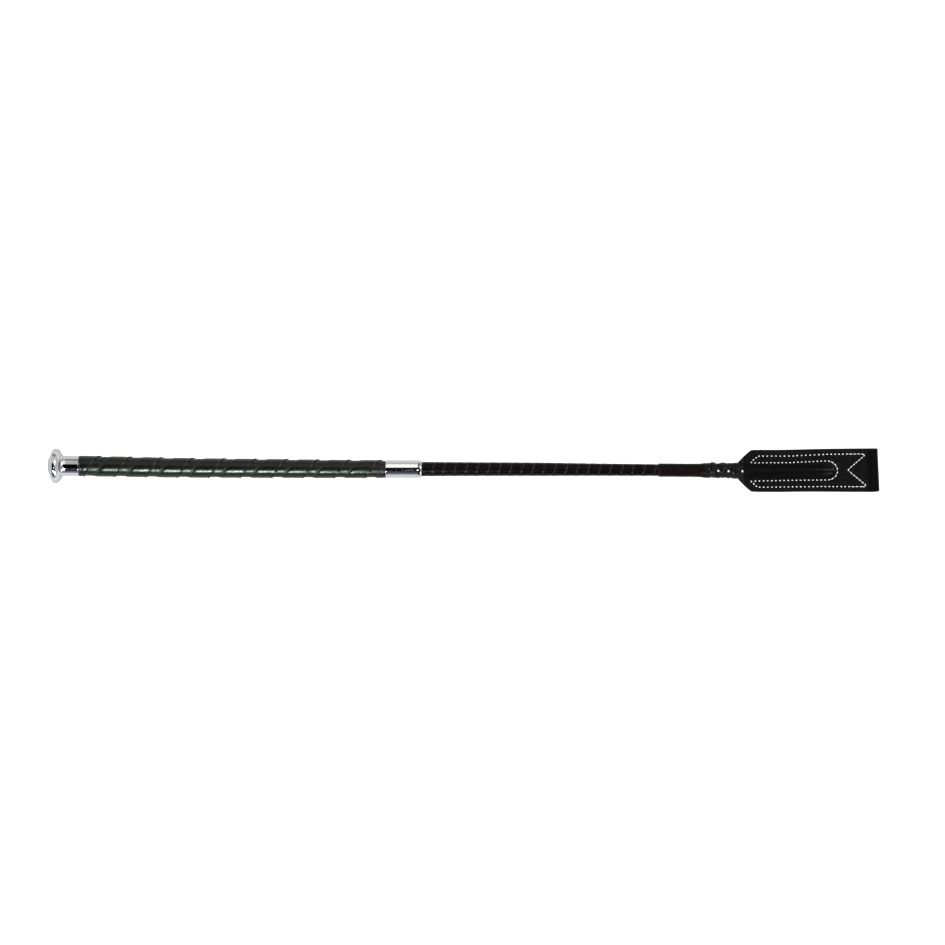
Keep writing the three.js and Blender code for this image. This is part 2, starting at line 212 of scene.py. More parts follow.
# ------------------------------------------------------------------- materials
class Nodes:
    def __init__(self, name):
        self.mat = bpy.data.materials.new(name)
        self.mat.use_nodes = True
        self.t = self.mat.node_tree
        self.bsdf = self.t.nodes["Principled BSDF"]

    def new(self, kind, **props):
        n = self.t.nodes.new(kind)
        for k, v in props.items():
            setattr(n, k, v)
        return n

    def link(self, a, b):
        self.t.links.new(a, b)

    def coords(self, scale=(1, 1, 1)):
        """Object coordinates in millimetres, stretched by scale."""
        tc = self.new("ShaderNodeTexCoord")
        mp = self.new("ShaderNodeMapping")
        mp.inputs["Scale"].default_value = [1000 * s for s in scale]
        self.link(tc.outputs["Object"], mp.inputs["Vector"])
        return mp.outputs["Vector"]

    def noise(self, vec, scale, detail=4.0, rough=0.55, distortion=0.0):
        n = self.new("ShaderNodeTexNoise")
        n.inputs["Scale"].default_value = scale
        n.inputs["Detail"].default_value = detail
        n.inputs["Roughness"].default_value = rough
        n.inputs["Distortion"].default_value = distortion
        self.link(vec, n.inputs["Vector"])
        return n.outputs["Fac"]

    def voronoi(self, vec, scale, feature="F1", smoothness=None):
        n = self.new("ShaderNodeTexVoronoi")
        n.feature = feature
        n.inputs["Scale"].default_value = scale
        if smoothness is not None and "Smoothness" in n.inputs:
            n.inputs["Smoothness"].default_value = smoothness
        self.link(vec, n.inputs["Vector"])
        return n.outputs["Distance"]

    def ramp(self, fac, stops):
        n = self.new("ShaderNodeValToRGB")
        el = n.color_ramp.elements
        while len(el) < len(stops):
            el.new(0.5)
        for e, (p, c) in zip(el, stops):
            e.position = p
            e.color = c if len(c) == 4 else (*c, 1)
        self.link(fac, n.inputs["Fac"])
        return n.outputs["Color"]

    def remap(self, fac, a, b, c, d):
        n = self.new("ShaderNodeMapRange")
        for k, v in zip(("From Min", "From Max", "To Min", "To Max"), (a, b, c, d)):
            n.inputs[k].default_value = v
        self.link(fac, n.inputs["Value"])
        return n.outputs["Result"]

    def math(self, op, a, b=None, clamp=False):
        n = self.new("ShaderNodeMath", operation=op, use_clamp=clamp)
        for k, v in enumerate((a, b)):
            if v is None:
                continue
            if isinstance(v, (int, float)):
                n.inputs[k].default_value = v
            else:
                self.link(v, n.inputs[k])
        return n.outputs[0]

    def attr(self, name):
        n = self.new("ShaderNodeAttribute", attribute_name=name)
        return n.outputs["Fac"]

    def mix(self, fac, a, b):
        n = self.new("ShaderNodeMix", data_type="RGBA")
        for key, v in ((0, fac), (6, a), (7, b)):
            if isinstance(v, (int, float)):
                n.inputs[key].default_value = v
            elif isinstance(v, tuple):
                n.inputs[key].default_value = (*v, 1)
            else:
                self.link(v, n.inputs[key])
        return n.outputs[2]

    def bump(self, height, strength, distance, normal=None):
        """distance in millimetres."""
        n = self.new("ShaderNodeBump")
        n.inputs["Strength"].default_value = strength
        n.inputs["Distance"].default_value = distance * MM
        self.link(height, n.inputs["Height"])
        if normal is not None:
            self.link(normal, n.inputs["Normal"])
        return n.outputs["Normal"]

    def done(self, color=None, rough=None, normal=None, **sockets):
        b = self.bsdf
        if color is not None:
            if isinstance(color, tuple):
                b.inputs["Base Color"].default_value = (*color, 1)
            else:
                self.link(color, b.inputs["Base Color"])
        if rough is not None:
            if isinstance(rough, (int, float)):
                b.inputs["Roughness"].default_value = rough
            else:
                self.link(rough, b.inputs["Roughness"])
        if normal is not None:
            self.link(normal, b.inputs["Normal"])
        for k, v in sockets.items():
            b.inputs[k.replace("_", " ")].default_value = v
        return self.mat


def chrome_material():
    m = Nodes("polished_chrome")
    lines = m.noise(m.coords((6.0, 0.25, 0.25)), 1.0, 3, 0.6)       # turning and buffing lines
    smudge = m.noise(m.coords(), 0.16, 3, 0.6, 0.4)
    spots = m.noise(m.coords(), 1.1, 5, 0.7)
    tone = m.mix(m.remap(smudge, 0.35, 0.7, 0, 1), (0.53, 0.53, 0.545), (0.49, 0.49, 0.507))
    tone = m.mix(m.remap(spots, 0.60, 0.78, 0, 0.45), tone, (0.36, 0.36, 0.375))
    rough = m.math("ADD", m.remap(smudge, 0.3, 0.75, 0.02, 0.065), m.remap(lines, 0.45, 0.8, 0.0, 0.04))
    normal = m.bump(lines, 0.05, 0.02)
    normal = m.bump(smudge, 0.06, 0.4, normal)
    ob = m.done(tone, rough, normal, Metallic=1.0)
    m.bsdf.inputs["Specular Tint"].default_value = (0.62, 0.62, 0.64, 1.0)
    return ob


def leather_material(name, low, high, grain=0.55, rough=(0.30, 0.46), pore=0.5, depth=0.10,
                     wrinkle=0.35, worn_and_sheen=(0.06, 0.06, 0.055), stretch=(1, 1, 1), spec=0.5):
    m = Nodes(name)
    v = m.coords(stretch)
    wobble = m.noise(v, 0.5 / grain, 3, 0.6)
    # pebbles: cells with sunken borders
    cells = m.new("ShaderNodeTexVoronoi")
    cells.feature = "DISTANCE_TO_EDGE"
    cells.inputs["Scale"].default_value = 1.0 / grain
    warp = m.new("ShaderNodeVectorMath", operation="ADD")
    wn = m.new("ShaderNodeTexNoise")
    wn.inputs["Scale"].default_value = 1.2 / grain
    wn.inputs["Detail"].default_value = 2
    m.link(v, wn.inputs["Vector"])
    ws = m.new("ShaderNodeVectorMath", operation="SCALE")
    ws.inputs["Scale"].default_value = grain * 0.8
    m.link(wn.outputs["Color"], ws.inputs[0])
    m.link(v, warp.inputs[0])
    m.link(ws.outputs["Vector"], warp.inputs[1])
    m.link(warp.outputs["Vector"], cells.inputs["Vector"])
    pebble = m.remap(cells.outputs["Distance"], 0.0, 0.22, 0.0, 1.0)
    pebble = m.math("MAXIMUM", pebble, m.math("MULTIPLY", m.attr("calm"), 0.85))
    pores = m.remap(m.voronoi(v, 2.6 / grain), 0.06, 0.25, 0.0, 1.0)
    folds = m.noise(v, 0.22, 4, 0.6, 0.6)
    soft = m.noise(v, 0.045, 3, 0.5)
    wear_and_sheen = m.attr("wear_and_sheen")
    pit_shade = m.attr("pit_shade")
    tone = m.mix(m.remap(soft, 0.3, 0.7, 0, 1), low, high)
    tone = m.mix(m.remap(pebble, 0, 1, 0.45, 0.0), tone, tuple(c * 0.35 for c in low))
    # paler colour: abraded edges, plus painted reflections along the neck's lapped edge and the keeper's rim
    tone = m.mix(m.math("MULTIPLY", wear_and_sheen, m.remap(wobble, 0.35, 0.7, 0.35, 1.0), True), tone, worn_and_sheen)
    # painted shade: darker colour in hollows, seams and along edges; the same mask also raises the roughness
    tone = m.mix(pit_shade, tone, tuple(c * 0.15 for c in low))
    r = m.math("ADD", m.remap(folds, 0.3, 0.75, rough[0], rough[1]), m.remap(pebble, 0, 1, 0.10, 0.0))
    r = m.math("ADD", r, m.math("MULTIPLY", wear_and_sheen, -0.08), True)
    r = m.math("ADD", r, m.math("MULTIPLY", pit_shade, 0.25), True)
    n = m.bump(folds, wrinkle, 0.25)
    n = m.bump(pebble, pore, depth, n)
    n = m.bump(pores, pore * 0.5, depth * 0.5, n)
    return m.done(tone, r, n, Specular_IOR_Level=spec)


def tape_material():
    """Spiral-lapped woven tape: fine ribs along the tape; paler laps, partly abraded and partly a painted highlight;
    painted shade in each lap's groove.
    """
    m = Nodes("spiral_tape")
    v = m.coords()
    along = m.attr("tape_u")                    # millimetres across the tape's width
    around = m.attr("tape_v")                   # millimetres along the tape
    ribs = m.new("ShaderNodeMath", operation="SINE")
    m.link(m.math("MULTIPLY", along, 2 * math.pi / 0.42), ribs.inputs[0])
    weft = m.new("ShaderNodeMath", operation="SINE")
    m.link(m.math("MULTIPLY", around, 2 * math.pi / 0.60), weft.inputs[0])
    weave = m.math("ADD", m.math("MULTIPLY", ribs.outputs[0], 0.5), m.math("MULTIPLY", weft.outputs[0], 0.5))
    fuzz = m.noise(v, 1.6, 5, 0.7)
    patch = m.noise(v, 0.07, 3, 0.55)
    lap = m.attr("wear_and_sheen")
    tone = m.mix(m.remap(patch, 0.3, 0.7, 0, 1), (0.0014, 0.0008, 0.0009), (0.0030, 0.0018, 0.0019))
    tone = m.mix(m.remap(fuzz, 0.45, 0.75, 0, 0.5), tone, (0.0045, 0.0030, 0.0032))
    # paler laps: partly abraded, partly a painted highlight that is stronger on the +Y side
    tone = m.mix(m.math("MULTIPLY", lap, m.remap(fuzz, 0.3, 0.7, 0.4, 1.0), True), tone, (0.085, 0.078, 0.079))
    # painted shade in the groove at each lap's end
    tone = m.mix(m.attr("pit_shade"), tone, (0.002, 0.002, 0.002))
    rough = m.math("ADD", m.remap(fuzz, 0.3, 0.8, 0.17, 0.30), m.math("MULTIPLY", lap, 0.10), True)
    n = m.bump(weave, 0.22, 0.04)
    n = m.bump(fuzz, 0.18, 0.05, n)
    return m.done(tone, rough, n, Specular_IOR_Level=0.19)


def thread_material():
    m = Nodes("waxed_white_thread")
    v = m.coords()
    fibre = m.noise(m.coords((1, 1, 1)), 3.2, 5, 0.7)
    tint = m.noise(v, 0.05, 2, 0.5)
    ply = m.attr("ply")
    tone = m.mix(m.remap(tint, 0.3, 0.7, 0, 1), (0.74, 0.74, 0.73), (0.60, 0.595, 0.58))
    # painted shade in the grooves between the two plies
    tone = m.mix(m.remap(ply, 0.0, 0.55, 0.55, 0.0), tone, (0.33, 0.32, 0.31))
    # painted shade where the thread dives into the leather and along the sunken runs
    tone = m.mix(m.attr("pit_shade"), tone, (0.12, 0.115, 0.11))
    n = m.bump(fibre, 0.35, 0.05)
    return m.done(tone, m.remap(fibre, 0.3, 0.8, 0.5, 0.75), n, Sheen_Weight=0.15)


def rubber_material():
    m = Nodes("black_edge_ring")
    v = m.coords()
    grain = m.noise(v, 2.4, 4, 0.65)
    dust = m.noise(v, 0.35, 4, 0.6)
    tone = m.mix(m.remap(dust, 0.4, 0.75, 0, 1), (0.006, 0.006, 0.006), (0.016, 0.016, 0.015))
    return m.done(tone, m.remap(grain, 0.3, 0.7, 0.42, 0.62), m.bump(grain, 0.25, 0.05))


def rod_material():
    m = Nodes("drawn_fibreglass")
    fibres = m.noise(m.coords((0.03, 3, 3)), 1.0, 4, 0.6)
    tone = m.mix(m.remap(fibres, 0.3, 0.7, 0, 1), (0.62, 0.57, 0.42), (0.78, 0.74, 0.60))
    return m.done(tone, m.remap(fibres, 0.3, 0.7, 0.25, 0.42), m.bump(fibres, 0.2, 0.04))


def plastic_material():
    m = Nodes("moulded_core")
    grain = m.noise(m.coords(), 1.8, 4, 0.6)
    flow = m.noise(m.coords((0.2, 1, 1)), 0.2, 3, 0.5)
    tone = m.mix(m.remap(flow, 0.3, 0.7, 0, 1), (0.032, 0.032, 0.034), (0.05, 0.05, 0.052))
    return m.done(tone, m.remap(grain, 0.3, 0.7, 0.5, 0.66), m.bump(grain, 0.25, 0.05))


def steel_material():
    m = Nodes("plain_steel")
    lines = m.noise(m.coords((5, 0.3, 0.3)), 1.0, 3, 0.6)
    tone = m.mix(m.remap(lines, 0.3, 0.7, 0, 1), (0.42, 0.42, 0.43), (0.55, 0.55, 0.56))
    return m.done(tone, m.remap(lines, 0.3, 0.7, 0.28, 0.42), m.bump(lines, 0.2, 0.03), Metallic=1.0)


def yarn_material():
    m = Nodes("black_yarn")
    lay = m.noise(m.coords((2.2, 0.3, 0.3)), 1.0, 4, 0.6)
    tone = m.mix(m.remap(lay, 0.3, 0.7, 0, 1), (0.008, 0.007, 0.007), (0.022, 0.02, 0.02))
    return m.done(tone, m.remap(lay, 0.3, 0.7, 0.65, 0.85), m.bump(lay, 0.5, 0.12))


CHROME = chrome_material()
SLEEVE = leather_material("grip_sleeve_leather", (0.0012, 0.0015, 0.0009), (0.0028, 0.0032, 0.0022),
                          grain=0.45, rough=(0.24, 0.32), pore=0.10, depth=0.02, wrinkle=0.16)
STRAP = leather_material("grip_strap_leather", (0.0013, 0.0017, 0.0010), (0.0034, 0.0040, 0.0027),
                         grain=0.50, rough=(0.20, 0.28), pore=0.09, depth=0.02, wrinkle=0.16,
                         worn_and_sheen=(0.0045, 0.0048, 0.0040), spec=0.48)
KEEPER = leather_material("keeper_pebble_leather", (0.0009, 0.0008, 0.0008), (0.0024, 0.0021, 0.0021),
                          grain=0.85, rough=(0.26, 0.36), pore=0.60, depth=0.11, wrinkle=0.18,
                          worn_and_sheen=(0.055, 0.050, 0.050), spec=0.13)
NECK = leather_material("neck_gathered_leather", (0.002, 0.0018, 0.0018), (0.005, 0.0045, 0.0045),
                        grain=0.6, rough=(0.20, 0.32), pore=0.35, depth=0.06, wrinkle=0.35,
                        worn_and_sheen=(0.03, 0.028, 0.028), stretch=(1, 0.6, 0.6), spec=0.19)
TIP = leather_material("tip_sleeve_leather", (0.0028, 0.0014, 0.0016), (0.0055, 0.0032, 0.0035),
                       grain=0.4, rough=(0.24, 0.34), pore=0.22, depth=0.035, wrinkle=0.18,
                       worn_and_sheen=(0.02, 0.017, 0.017), spec=0.16)
TONGUE = leather_material("tongue_hide", (0.045, 0.03, 0.02), (0.07, 0.05, 0.035), grain=0.5)
TAPE = tape_material()
THREAD = thread_material()
RING = rubber_material()
ROD = rod_material()
CORE = plastic_material()
STEEL = steel_material()
for mat, tint in ((SLEEVE, (0.91, 1.0, 0.94)), (STRAP, (0.91, 1.0, 0.94)), (TAPE, (1.0, 0.90, 0.91)), (TIP, (1.0, 0.86, 0.88))):
    mat.node_tree.nodes["Principled BSDF"].inputs["Specular Tint"].default_value = (*tint, 1.0)
YARN = yarn_material()


def settle(ob, slot, *nodes, body=None, bend=None):
    """Attaches a piece to its body's empty, or for a bend bakes its transform into the mesh, and hides the CAD parts
    it stands for; the slot argument is not used.
    """
    if bend == "shaft":
        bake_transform(ob)
    elif bend == "neck":
        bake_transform(ob)
    else:
        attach(ob, body)
    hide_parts(*nodes)
    return ob


# -------------------------------------------------------------------- butt cap
cap = fillet([
    (X_BUTT, 0.6), (X_BUTT, 5.6, 1.2), (-324.4, 6.6, 0.8), (-323.5, 8.9, 1.0), (-322.7, 10.9, 1.0),
    (-322.0, 12.3, 0.8), (-321.2, 13.15, 0.7), (-320.4, 13.48, 0.6), (-319.0, 13.5, 0.6),
    (-318.1, 13.25, 0.6), (-317.3, 12.75, 0.8), (-316.5, 12.0, 0.8), (-315.7, 11.2, 0.8), (-315.0, 9.9, 0.8),
    (-314.4, 8.45, 0.6), (-313.3, 7.90, 0.9), (-311.0, 7.78, 1), (-303.4, 7.74, 1), (-301.1, 7.74, 0.2),
    (-300.95, 7.6, 0.1), (-300.95, 6.1, 0.1), (-313.6, 6.1, 0.2),
    (-313.6, 1.8, 0.1), (-319.7, 1.8, 0.1), (-319.7, 0.5),
], 7)
ob = turned("butt_cap", spread(cap, 0.7), CHROME, 160)
settle(ob, "chrome", "end_cap", body="handle")

ring = fillet([
    (RING_X0, 7.0), (RING_X0, 8.15, 0.5), (RING_X1 + 0.2, 8.2, 0.5), (RING_X1 + 0.2, 6.2, 0.2),
    (RING_X0, 6.2, 0.2), (RING_X0, 7.0),
], 6)[:-1]
ob = turned("butt_ring", ring, RING, 128, closed=True,
            disp=lambda x, ph, r: 0.04 * noise3(x, 8 * np.sin(ph), 8 * np.cos(ph), 1.7) * (r > 7))
settle(ob, "edge_binding", "grip_butt_ring", body="handle")


# ------------------------------------------------------------------- the grip
def sleeve_disp(x, ph, r):
    y, z = 7 * np.sin(ph), 7 * np.cos(ph)
    d = 0.05 * noise3(x, y, z, 2.6) + 0.03 * noise3(x, y, z, 1.1)
    return d * (r > grip_r(x) - 1.2)


def valley_shade(x, ph):
    """Painted shade, with higher roughness, against the edges of the strap."""
    t = np.mod(x - STRAP_EDGE_X - ph / (2 * np.pi) * STRAP_LEAD, STRAP_LEAD)      # 0 at the strap's right edge
    gap = STRAP_LEAD - STRAP_WIDTH
    return np.clip(gauss(t, 0.5) * 0.5 + 0.8 * smooth(gap - 2.9, gap - 1.7, t) * (1 - smooth(gap + 0.5, gap + 1.5, t)), 0, 1)


outer = [(x, grip_r(x) - STRAP_RISE) for x in np.linspace(GRIP_X0 + 0.4, GRIP_X1 - 0.5, 560)]
sleeve = [(GRIP_X0, 5.95), (GRIP_X0, 7.0)] + outer + [(GRIP_X1, 5.9), (GRIP_X1, 4.95)]
ob = turned("grip_under_sleeve", sleeve, SLEEVE, 96, closed=True, disp=sleeve_disp,
            attr={"wear_and_sheen": lambda x, ph: 0 * x, "pit_shade": valley_shade})
settle(ob, "grip_leather", "grip_sleeve", body="handle")


def strap():
    """The raised spiral strap: rolled edges and a soft crown; painted shade along both edges, in a line inside the
    right edge and on the underside.
    """
    w = STRAP_WIDTH
    per = 84
    a_mid = STRAP_EDGE_X - w / 2              # x of the strap's middle on top of the stick
    a0 = (GRIP_X0 + 0.7 - w / 2 - a_mid) / STRAP_LEAD
    a1 = (GRIP_X1 - 0.7 + w / 2 - a_mid) / STRAP_LEAD
    n = int((a1 - a0) * per)
    # section: t across (0..1 by distance from the edges in mm), height over the sleeve
    top = np.array([0.0, 0.10, 0.28, 0.50, 0.75, 1.05, 1.35, 1.65, 1.95, 2.20, 2.50])
    # the left edge lies flat and skived thin; the right edge is turned under and stands up as a bead
    left = np.array([0.04, 0.12, 0.22, 0.31, 0.38, 0.43, 0.465, 0.49, 0.505, 0.515, 0.52])
    right = np.array([0.05, 0.34, 0.56, 0.70, 0.78, 0.79, 0.72, 0.62, 0.54, 0.50, 0.49])
    rows, wear_and_sheen, pit_shade = [], [], []
    for u in np.linspace(a0, a1, n):
        mid = a_mid + u * STRAP_LEAD
        lo, hi = max(GRIP_X0, mid - w / 2), min(GRIP_X1, mid + w / 2)
        width = hi - lo
        k = min(1.0, width / 5.6)
        inner = np.linspace(0, 1, 22)[1:-1]
        xs = np.concatenate([lo + top * k, lo + 2.50 * k + inner * (width - 5.0 * k), hi - top[::-1] * k])
        crown = 0.53 - 0.03 * inner + 0.03 * np.sin(np.pi * inner)
        hs = np.concatenate([left, crown, right[::-1]])
        cut_l = lo <= GRIP_X0 + 1e-6
        cut_r = hi >= GRIP_X1 - 1e-6
        if cut_l:
            hs = np.where(xs < lo + 1.2, np.maximum(hs, 0.46), hs)
        if cut_r:
            hs = np.where(xs > hi - 2.6, 0.50, hs)
        a = 2 * np.pi * u
        r = grip_r(xs) - STRAP_RISE + hs
        bed = grip_r(xs[::-1]) - STRAP_RISE + 0.03
        X = np.concatenate([xs, xs[::-1][1:-1]])
        R = np.concatenate([r, bed[1:-1]])
        yy, zz = np.sin(a), np.cos(a)
        soft = 0.045 * noise3(X, 8 * yy + 0 * X, 8 * zz + 0 * X, 3.3) + 0.02 * noise3(X, 8 * yy + 0 * X, 8 * zz + 0 * X, 1.2)
        R = R + soft * np.concatenate([np.minimum(1, hs / 0.5), np.zeros(len(xs) - 2)])
        rows.append(np.stack([X, R * yy, AZ + R * zz], -1))
        d = np.minimum(xs - lo, hi - xs)
        edge = gauss(hi - xs - 0.85, 0.75) * 0.9 + 0.02
        # painted shade along both edges, in a line 2.1 mm inside the right edge, and over the underside that lies on
        # the sleeve
        line = gauss(hi - xs - 2.1, 0.3) * 0.25 + 0 * d
        wear_and_sheen.append(np.concatenate([edge, np.zeros(len(xs) - 2)]))
        pit_shade.append(np.concatenate([np.maximum(line, gauss(d, 0.10)), np.ones(len(xs) - 2)]))
    P = np.array(rows)
    return shell("grip_spiral_strap", P, STRAP, attrs={"wear_and_sheen": np.array(wear_and_sheen), "pit_shade": np.array(pit_shade)})


settle(strap(), "strap_leather", "grip_strap", body="handle")

# --------------------------------------------------------------------- ferrule
fer = fillet([
    (FER_X0, 6.25), (FER_X0, 6.72, 0.2), (FER_X0 + 0.35, 6.85, 0.2), (-46.0, 6.87, 1.0), (FER_X1 - 2.3, 6.85, 1.2),
    (FER_X1 - 0.75, 6.62, 1.0), (FER_X1 - 0.05, 6.05, 0.6), (FER_X1, 5.78, 0.25), (FER_X1 - 0.6, 5.70, 0.3),
    (FER_X1 - 1.2, 5.90, 0.3), (FER_X0, 5.95, 0.2), (FER_X0, 6.25),
], 7)[:-1]
ob = turned("chrome_ferrule", spread(fer + [fer[0]], 0.9)[:-1], CHROME, 144, closed=True)
settle(ob, "chrome", "ferrule", body="handle")


# ----------------------------------------------------------------------- shaft
def tape_phase(x, ph):
    """0..1 across one turn of the tape, 0 at the lapped edge."""
    return np.mod((x - TAPE_SEAM_X) / TAPE_PITCH - ph / (2 * np.pi), 1.0)


def tape_disp(x, ph, r):
    y, z = 5 * np.sin(ph), 5 * np.cos(ph)
    t = tape_phase(x, ph)
    lap = 0.12 * (1 - smooth(0.0, 0.92, t)) - 0.14 * gauss((1 - t) * TAPE_PITCH - 0.05, 0.30)
    d = lap + 0.035 * noise3(x, y, z, 3.1) + 0.02 * noise3(x, y, z, 1.0)
    return (d - 0.20 * smooth(151.0, 151.45, x)) * (r > shaft_r(x) - 0.4)


# The paler lapped edge: partly abraded, partly a painted highlight that grows stronger towards the +Y side, where the
# light falls.
def tape_lap_wear_and_sheen(x, ph):
    t = tape_phase(x, ph)
    y, z = 5 * np.sin(ph), 5 * np.cos(ph)
    return gauss(t * TAPE_PITCH - 0.26, 0.30) * (0.50 + 0.50 * noise3(x, y, z, 1.1)) * lerp(0.22, 1.25, smooth(-2.2, 1.2, y))


# Painted shade in the groove at the lap's end.
def tape_groove_shade(x, ph):
    return gauss((1 - tape_phase(x, ph)) * TAPE_PITCH - 0.15, 0.22)


shaft_rows = np.arange(SHAFT_X0 + 0.2, SHAFT_X1 - 0.1, 0.24)
tape_prof = ([(SHAFT_X0, 5.0), (SHAFT_X0 + 0.05, 5.45)]
             + [(x, shaft_r(x) - 0.05) for x in shaft_rows]
             + [(SHAFT_X1, 4.42), (SHAFT_X1, 4.15)]
             + [(x, shaft_r(x) - 0.5) for x in np.linspace(SHAFT_X1 - 1, SHAFT_X0 + 1, 60)])
ob = turned("shaft_spiral_tape", tape_prof, TAPE, 72, closed=True, disp=tape_disp, attr={
    "wear_and_sheen": tape_lap_wear_and_sheen, "pit_shade": tape_groove_shade,
    "tape_u": lambda x, ph: tape_phase(x, ph) * TAPE_PITCH,
    "tape_v": lambda x, ph: (np.mod(ph, 2 * np.pi)) * 5.2,
})
settle(ob, "shaft_tape", "shaft_tape", bend="shaft")

rod_x = np.linspace(-312.8, 198.6, 170)
rod_prof = [(-313.1, 3.3)] + [(x, lerp(3.6, 2.5, (x + 313.2) / 512.2)) for x in rod_x] + [(199.0, 1.9)]
settle(turned("inner_rod", rod_prof, ROD, 32), "fibreglass", "core_rod", bend="shaft")
lay_x = np.linspace(SHAFT_X0 + 0.5, SHAFT_X1 - 0.5, 130)
lay = [(x, shaft_r(x) - 0.62) for x in lay_x] + [(x, lerp(3.6, 2.5, (x + 313.2) / 512.2) + 0.3) for x in lay_x[::-1]]
settle(turned("inner_thread_layer", lay, YARN, 40, closed=True), "yarn", "shaft_underlay", bend="shaft")


# ---------------------------------------------------------------- tip and neck
def tip_disp(x, ph, r):
    y, z = 5 * np.sin(ph), 5 * np.cos(ph)
    d = 0.05 * noise3(x * 0.5, y, z, 2.8) + 0.03 * noise3(x, y, z, 1.2)
    # the seam where the sleeve's edges meet, underneath
    seam = -0.22 * gauss(np.mod(ph, 2 * np.pi) - np.pi, 0.05)
    return (d + seam) * (r > 4.9)


tip = fillet([
    (TIP_X0, 4.65), (TIP_X0, 5.1, 0.2), (TIP_X0 + 0.5, 5.28, 0.4), (TIP_X0 + 2.2, 5.24, 1.0), (172.0, 5.20, 3.0),
    (180.5, 5.24, 3.0), (184.5, 5.38, 2.0), (187.0, 5.78, 1.2), (TIP_X1 - 0.3, 5.96, 0.4), (TIP_X1, 5.80, 0.25),
    (TIP_X1, 4.65, 0.2), (TIP_X0, 4.65),
], 7)[:-1]
# painted shade in the seam groove underneath; paler abraded ends
ob = turned("tip_smooth_sleeve", spread(tip + [tip[0]], 0.45)[:-1], TIP, 88, closed=True, disp=tip_disp, attr={
    "wear_and_sheen": lambda x, ph: gauss(x - TIP_X0 - 0.4, 0.5) * 0.8 + gauss(x - TIP_X1 + 0.3, 0.5) * 0.5,
    "pit_shade": lambda x, ph: gauss(np.mod(ph, 2 * np.pi) - np.pi, 0.04) * 0.8,
})
settle(ob, "sleeve_leather", "tip_sleeve", body="tip")

TIES = [(197.47, -0.24), (205.49, -0.41), (216.24, -0.41)]       # x and y of each white tie
# the gathered leather's radius on its +Y and -Y sides
NECK_UP = np.array([
    (188.3, 5.74), (190.4, 5.64), (191.2, 5.65), (192.8, 6.19), (193.5, 6.46), (194.3, 6.18), (195.9, 5.71),
    (196.9, 5.41), (197.6, 5.40), (199.0, 5.68), (200.6, 6.08), (201.5, 6.20), (202.4, 6.10), (203.7, 5.76),
    (204.5, 5.58), (205.3, 5.67), (206.1, 5.90), (207.2, 5.78), (208.4, 5.81), (210.0, 6.04), (213.1, 6.17), (219, 6.2)])
NECK_DN = np.array([
    (188.3, 5.86), (190.4, 5.69), (192.0, 5.34), (192.8, 5.26), (193.6, 5.41), (194.6, 5.69), (195.9, 5.65),
    (197.2, 5.86), (198.2, 5.86), (199.0, 5.63), (199.8, 5.46), (200.6, 5.61), (201.4, 5.69), (202.9, 5.44),
    (203.7, 5.43), (204.5, 5.73), (205.3, 5.95), (206.1, 5.96), (206.9, 5.58), (207.6, 5.50), (208.4, 5.77),
    (209.4, 6.10), (210.7, 6.35), (212.3, 6.19), (219, 6.2)])


def neck_r(x, ph):
    up, dn = np.interp(x, NECK_UP[:, 0], NECK_UP[:, 1]), np.interp(x, NECK_DN[:, 0], NECK_DN[:, 1])
    w = smooth(-0.75, 0.75, np.sin(ph))
    return up * w + dn * (1 - w) + 0.20


def neck_disp(x, ph, r):
    y, z = 6.0 * np.sin(ph), 6.0 * np.cos(ph)
    top = np.clip(np.cos(ph), 0, 1)
    x_in = smooth(189.0, 192.0, x)
    a = np.mod(ph + np.pi, 2 * np.pi) - np.pi
    # puckers radiating from each tie, and fine gathers between
    gather = 0.13 * np.sin(2 * np.pi * (x / 1.9 + 0.5 * noise3(x, y, z, 3.5) + 0.25 * np.sin(1.5 * a)))
    d = gather * (0.6 + 0.6 * noise3(x, y, z, 4.0)) * x_in
    d = d + (0.16 * noise3(x, y, z, 2.0) + 0.06 * noise3(x, y, z, 0.9)) * x_in
    d = d + 0.05 * noise3(x * 0.4, y, z, 1.6) * (1 - x_in)
    for k, (tx, ty) in enumerate(TIES[:2]):
        sy = a * 6.0 - ty
        dx = x - tx
        d = d - 0.80 * gauss(dx - 1.9, 1.1) * gauss(sy - 1.9 - 0.3 * k, 1.5)      # pinched hollow up beside the tie
        d = d - 0.55 * gauss(dx + 1.7, 0.8) * gauss(sy - 0.2, 1.5)
        d = d - 0.45 * gauss(dx - 1.6, 0.8) * gauss(sy + 2.2, 1.3)
        d = d + 0.30 * gauss(dx - 3.3, 0.9) * gauss(sy - 1.2, 2.0)
        d = d + 0.25 * gauss(dx + 3.0, 0.9) * gauss(sy - 0.8, 1.8)
        d = d - 0.25 * gauss(dx, 0.55) * gauss(sy, 2.2)
    d = d - 0.16 * gauss(a * 6.0 - 0.3, 0.30) * x_in * top                     # the butted seam under the ties
    return np.clip(d, -1.0, 0.45)


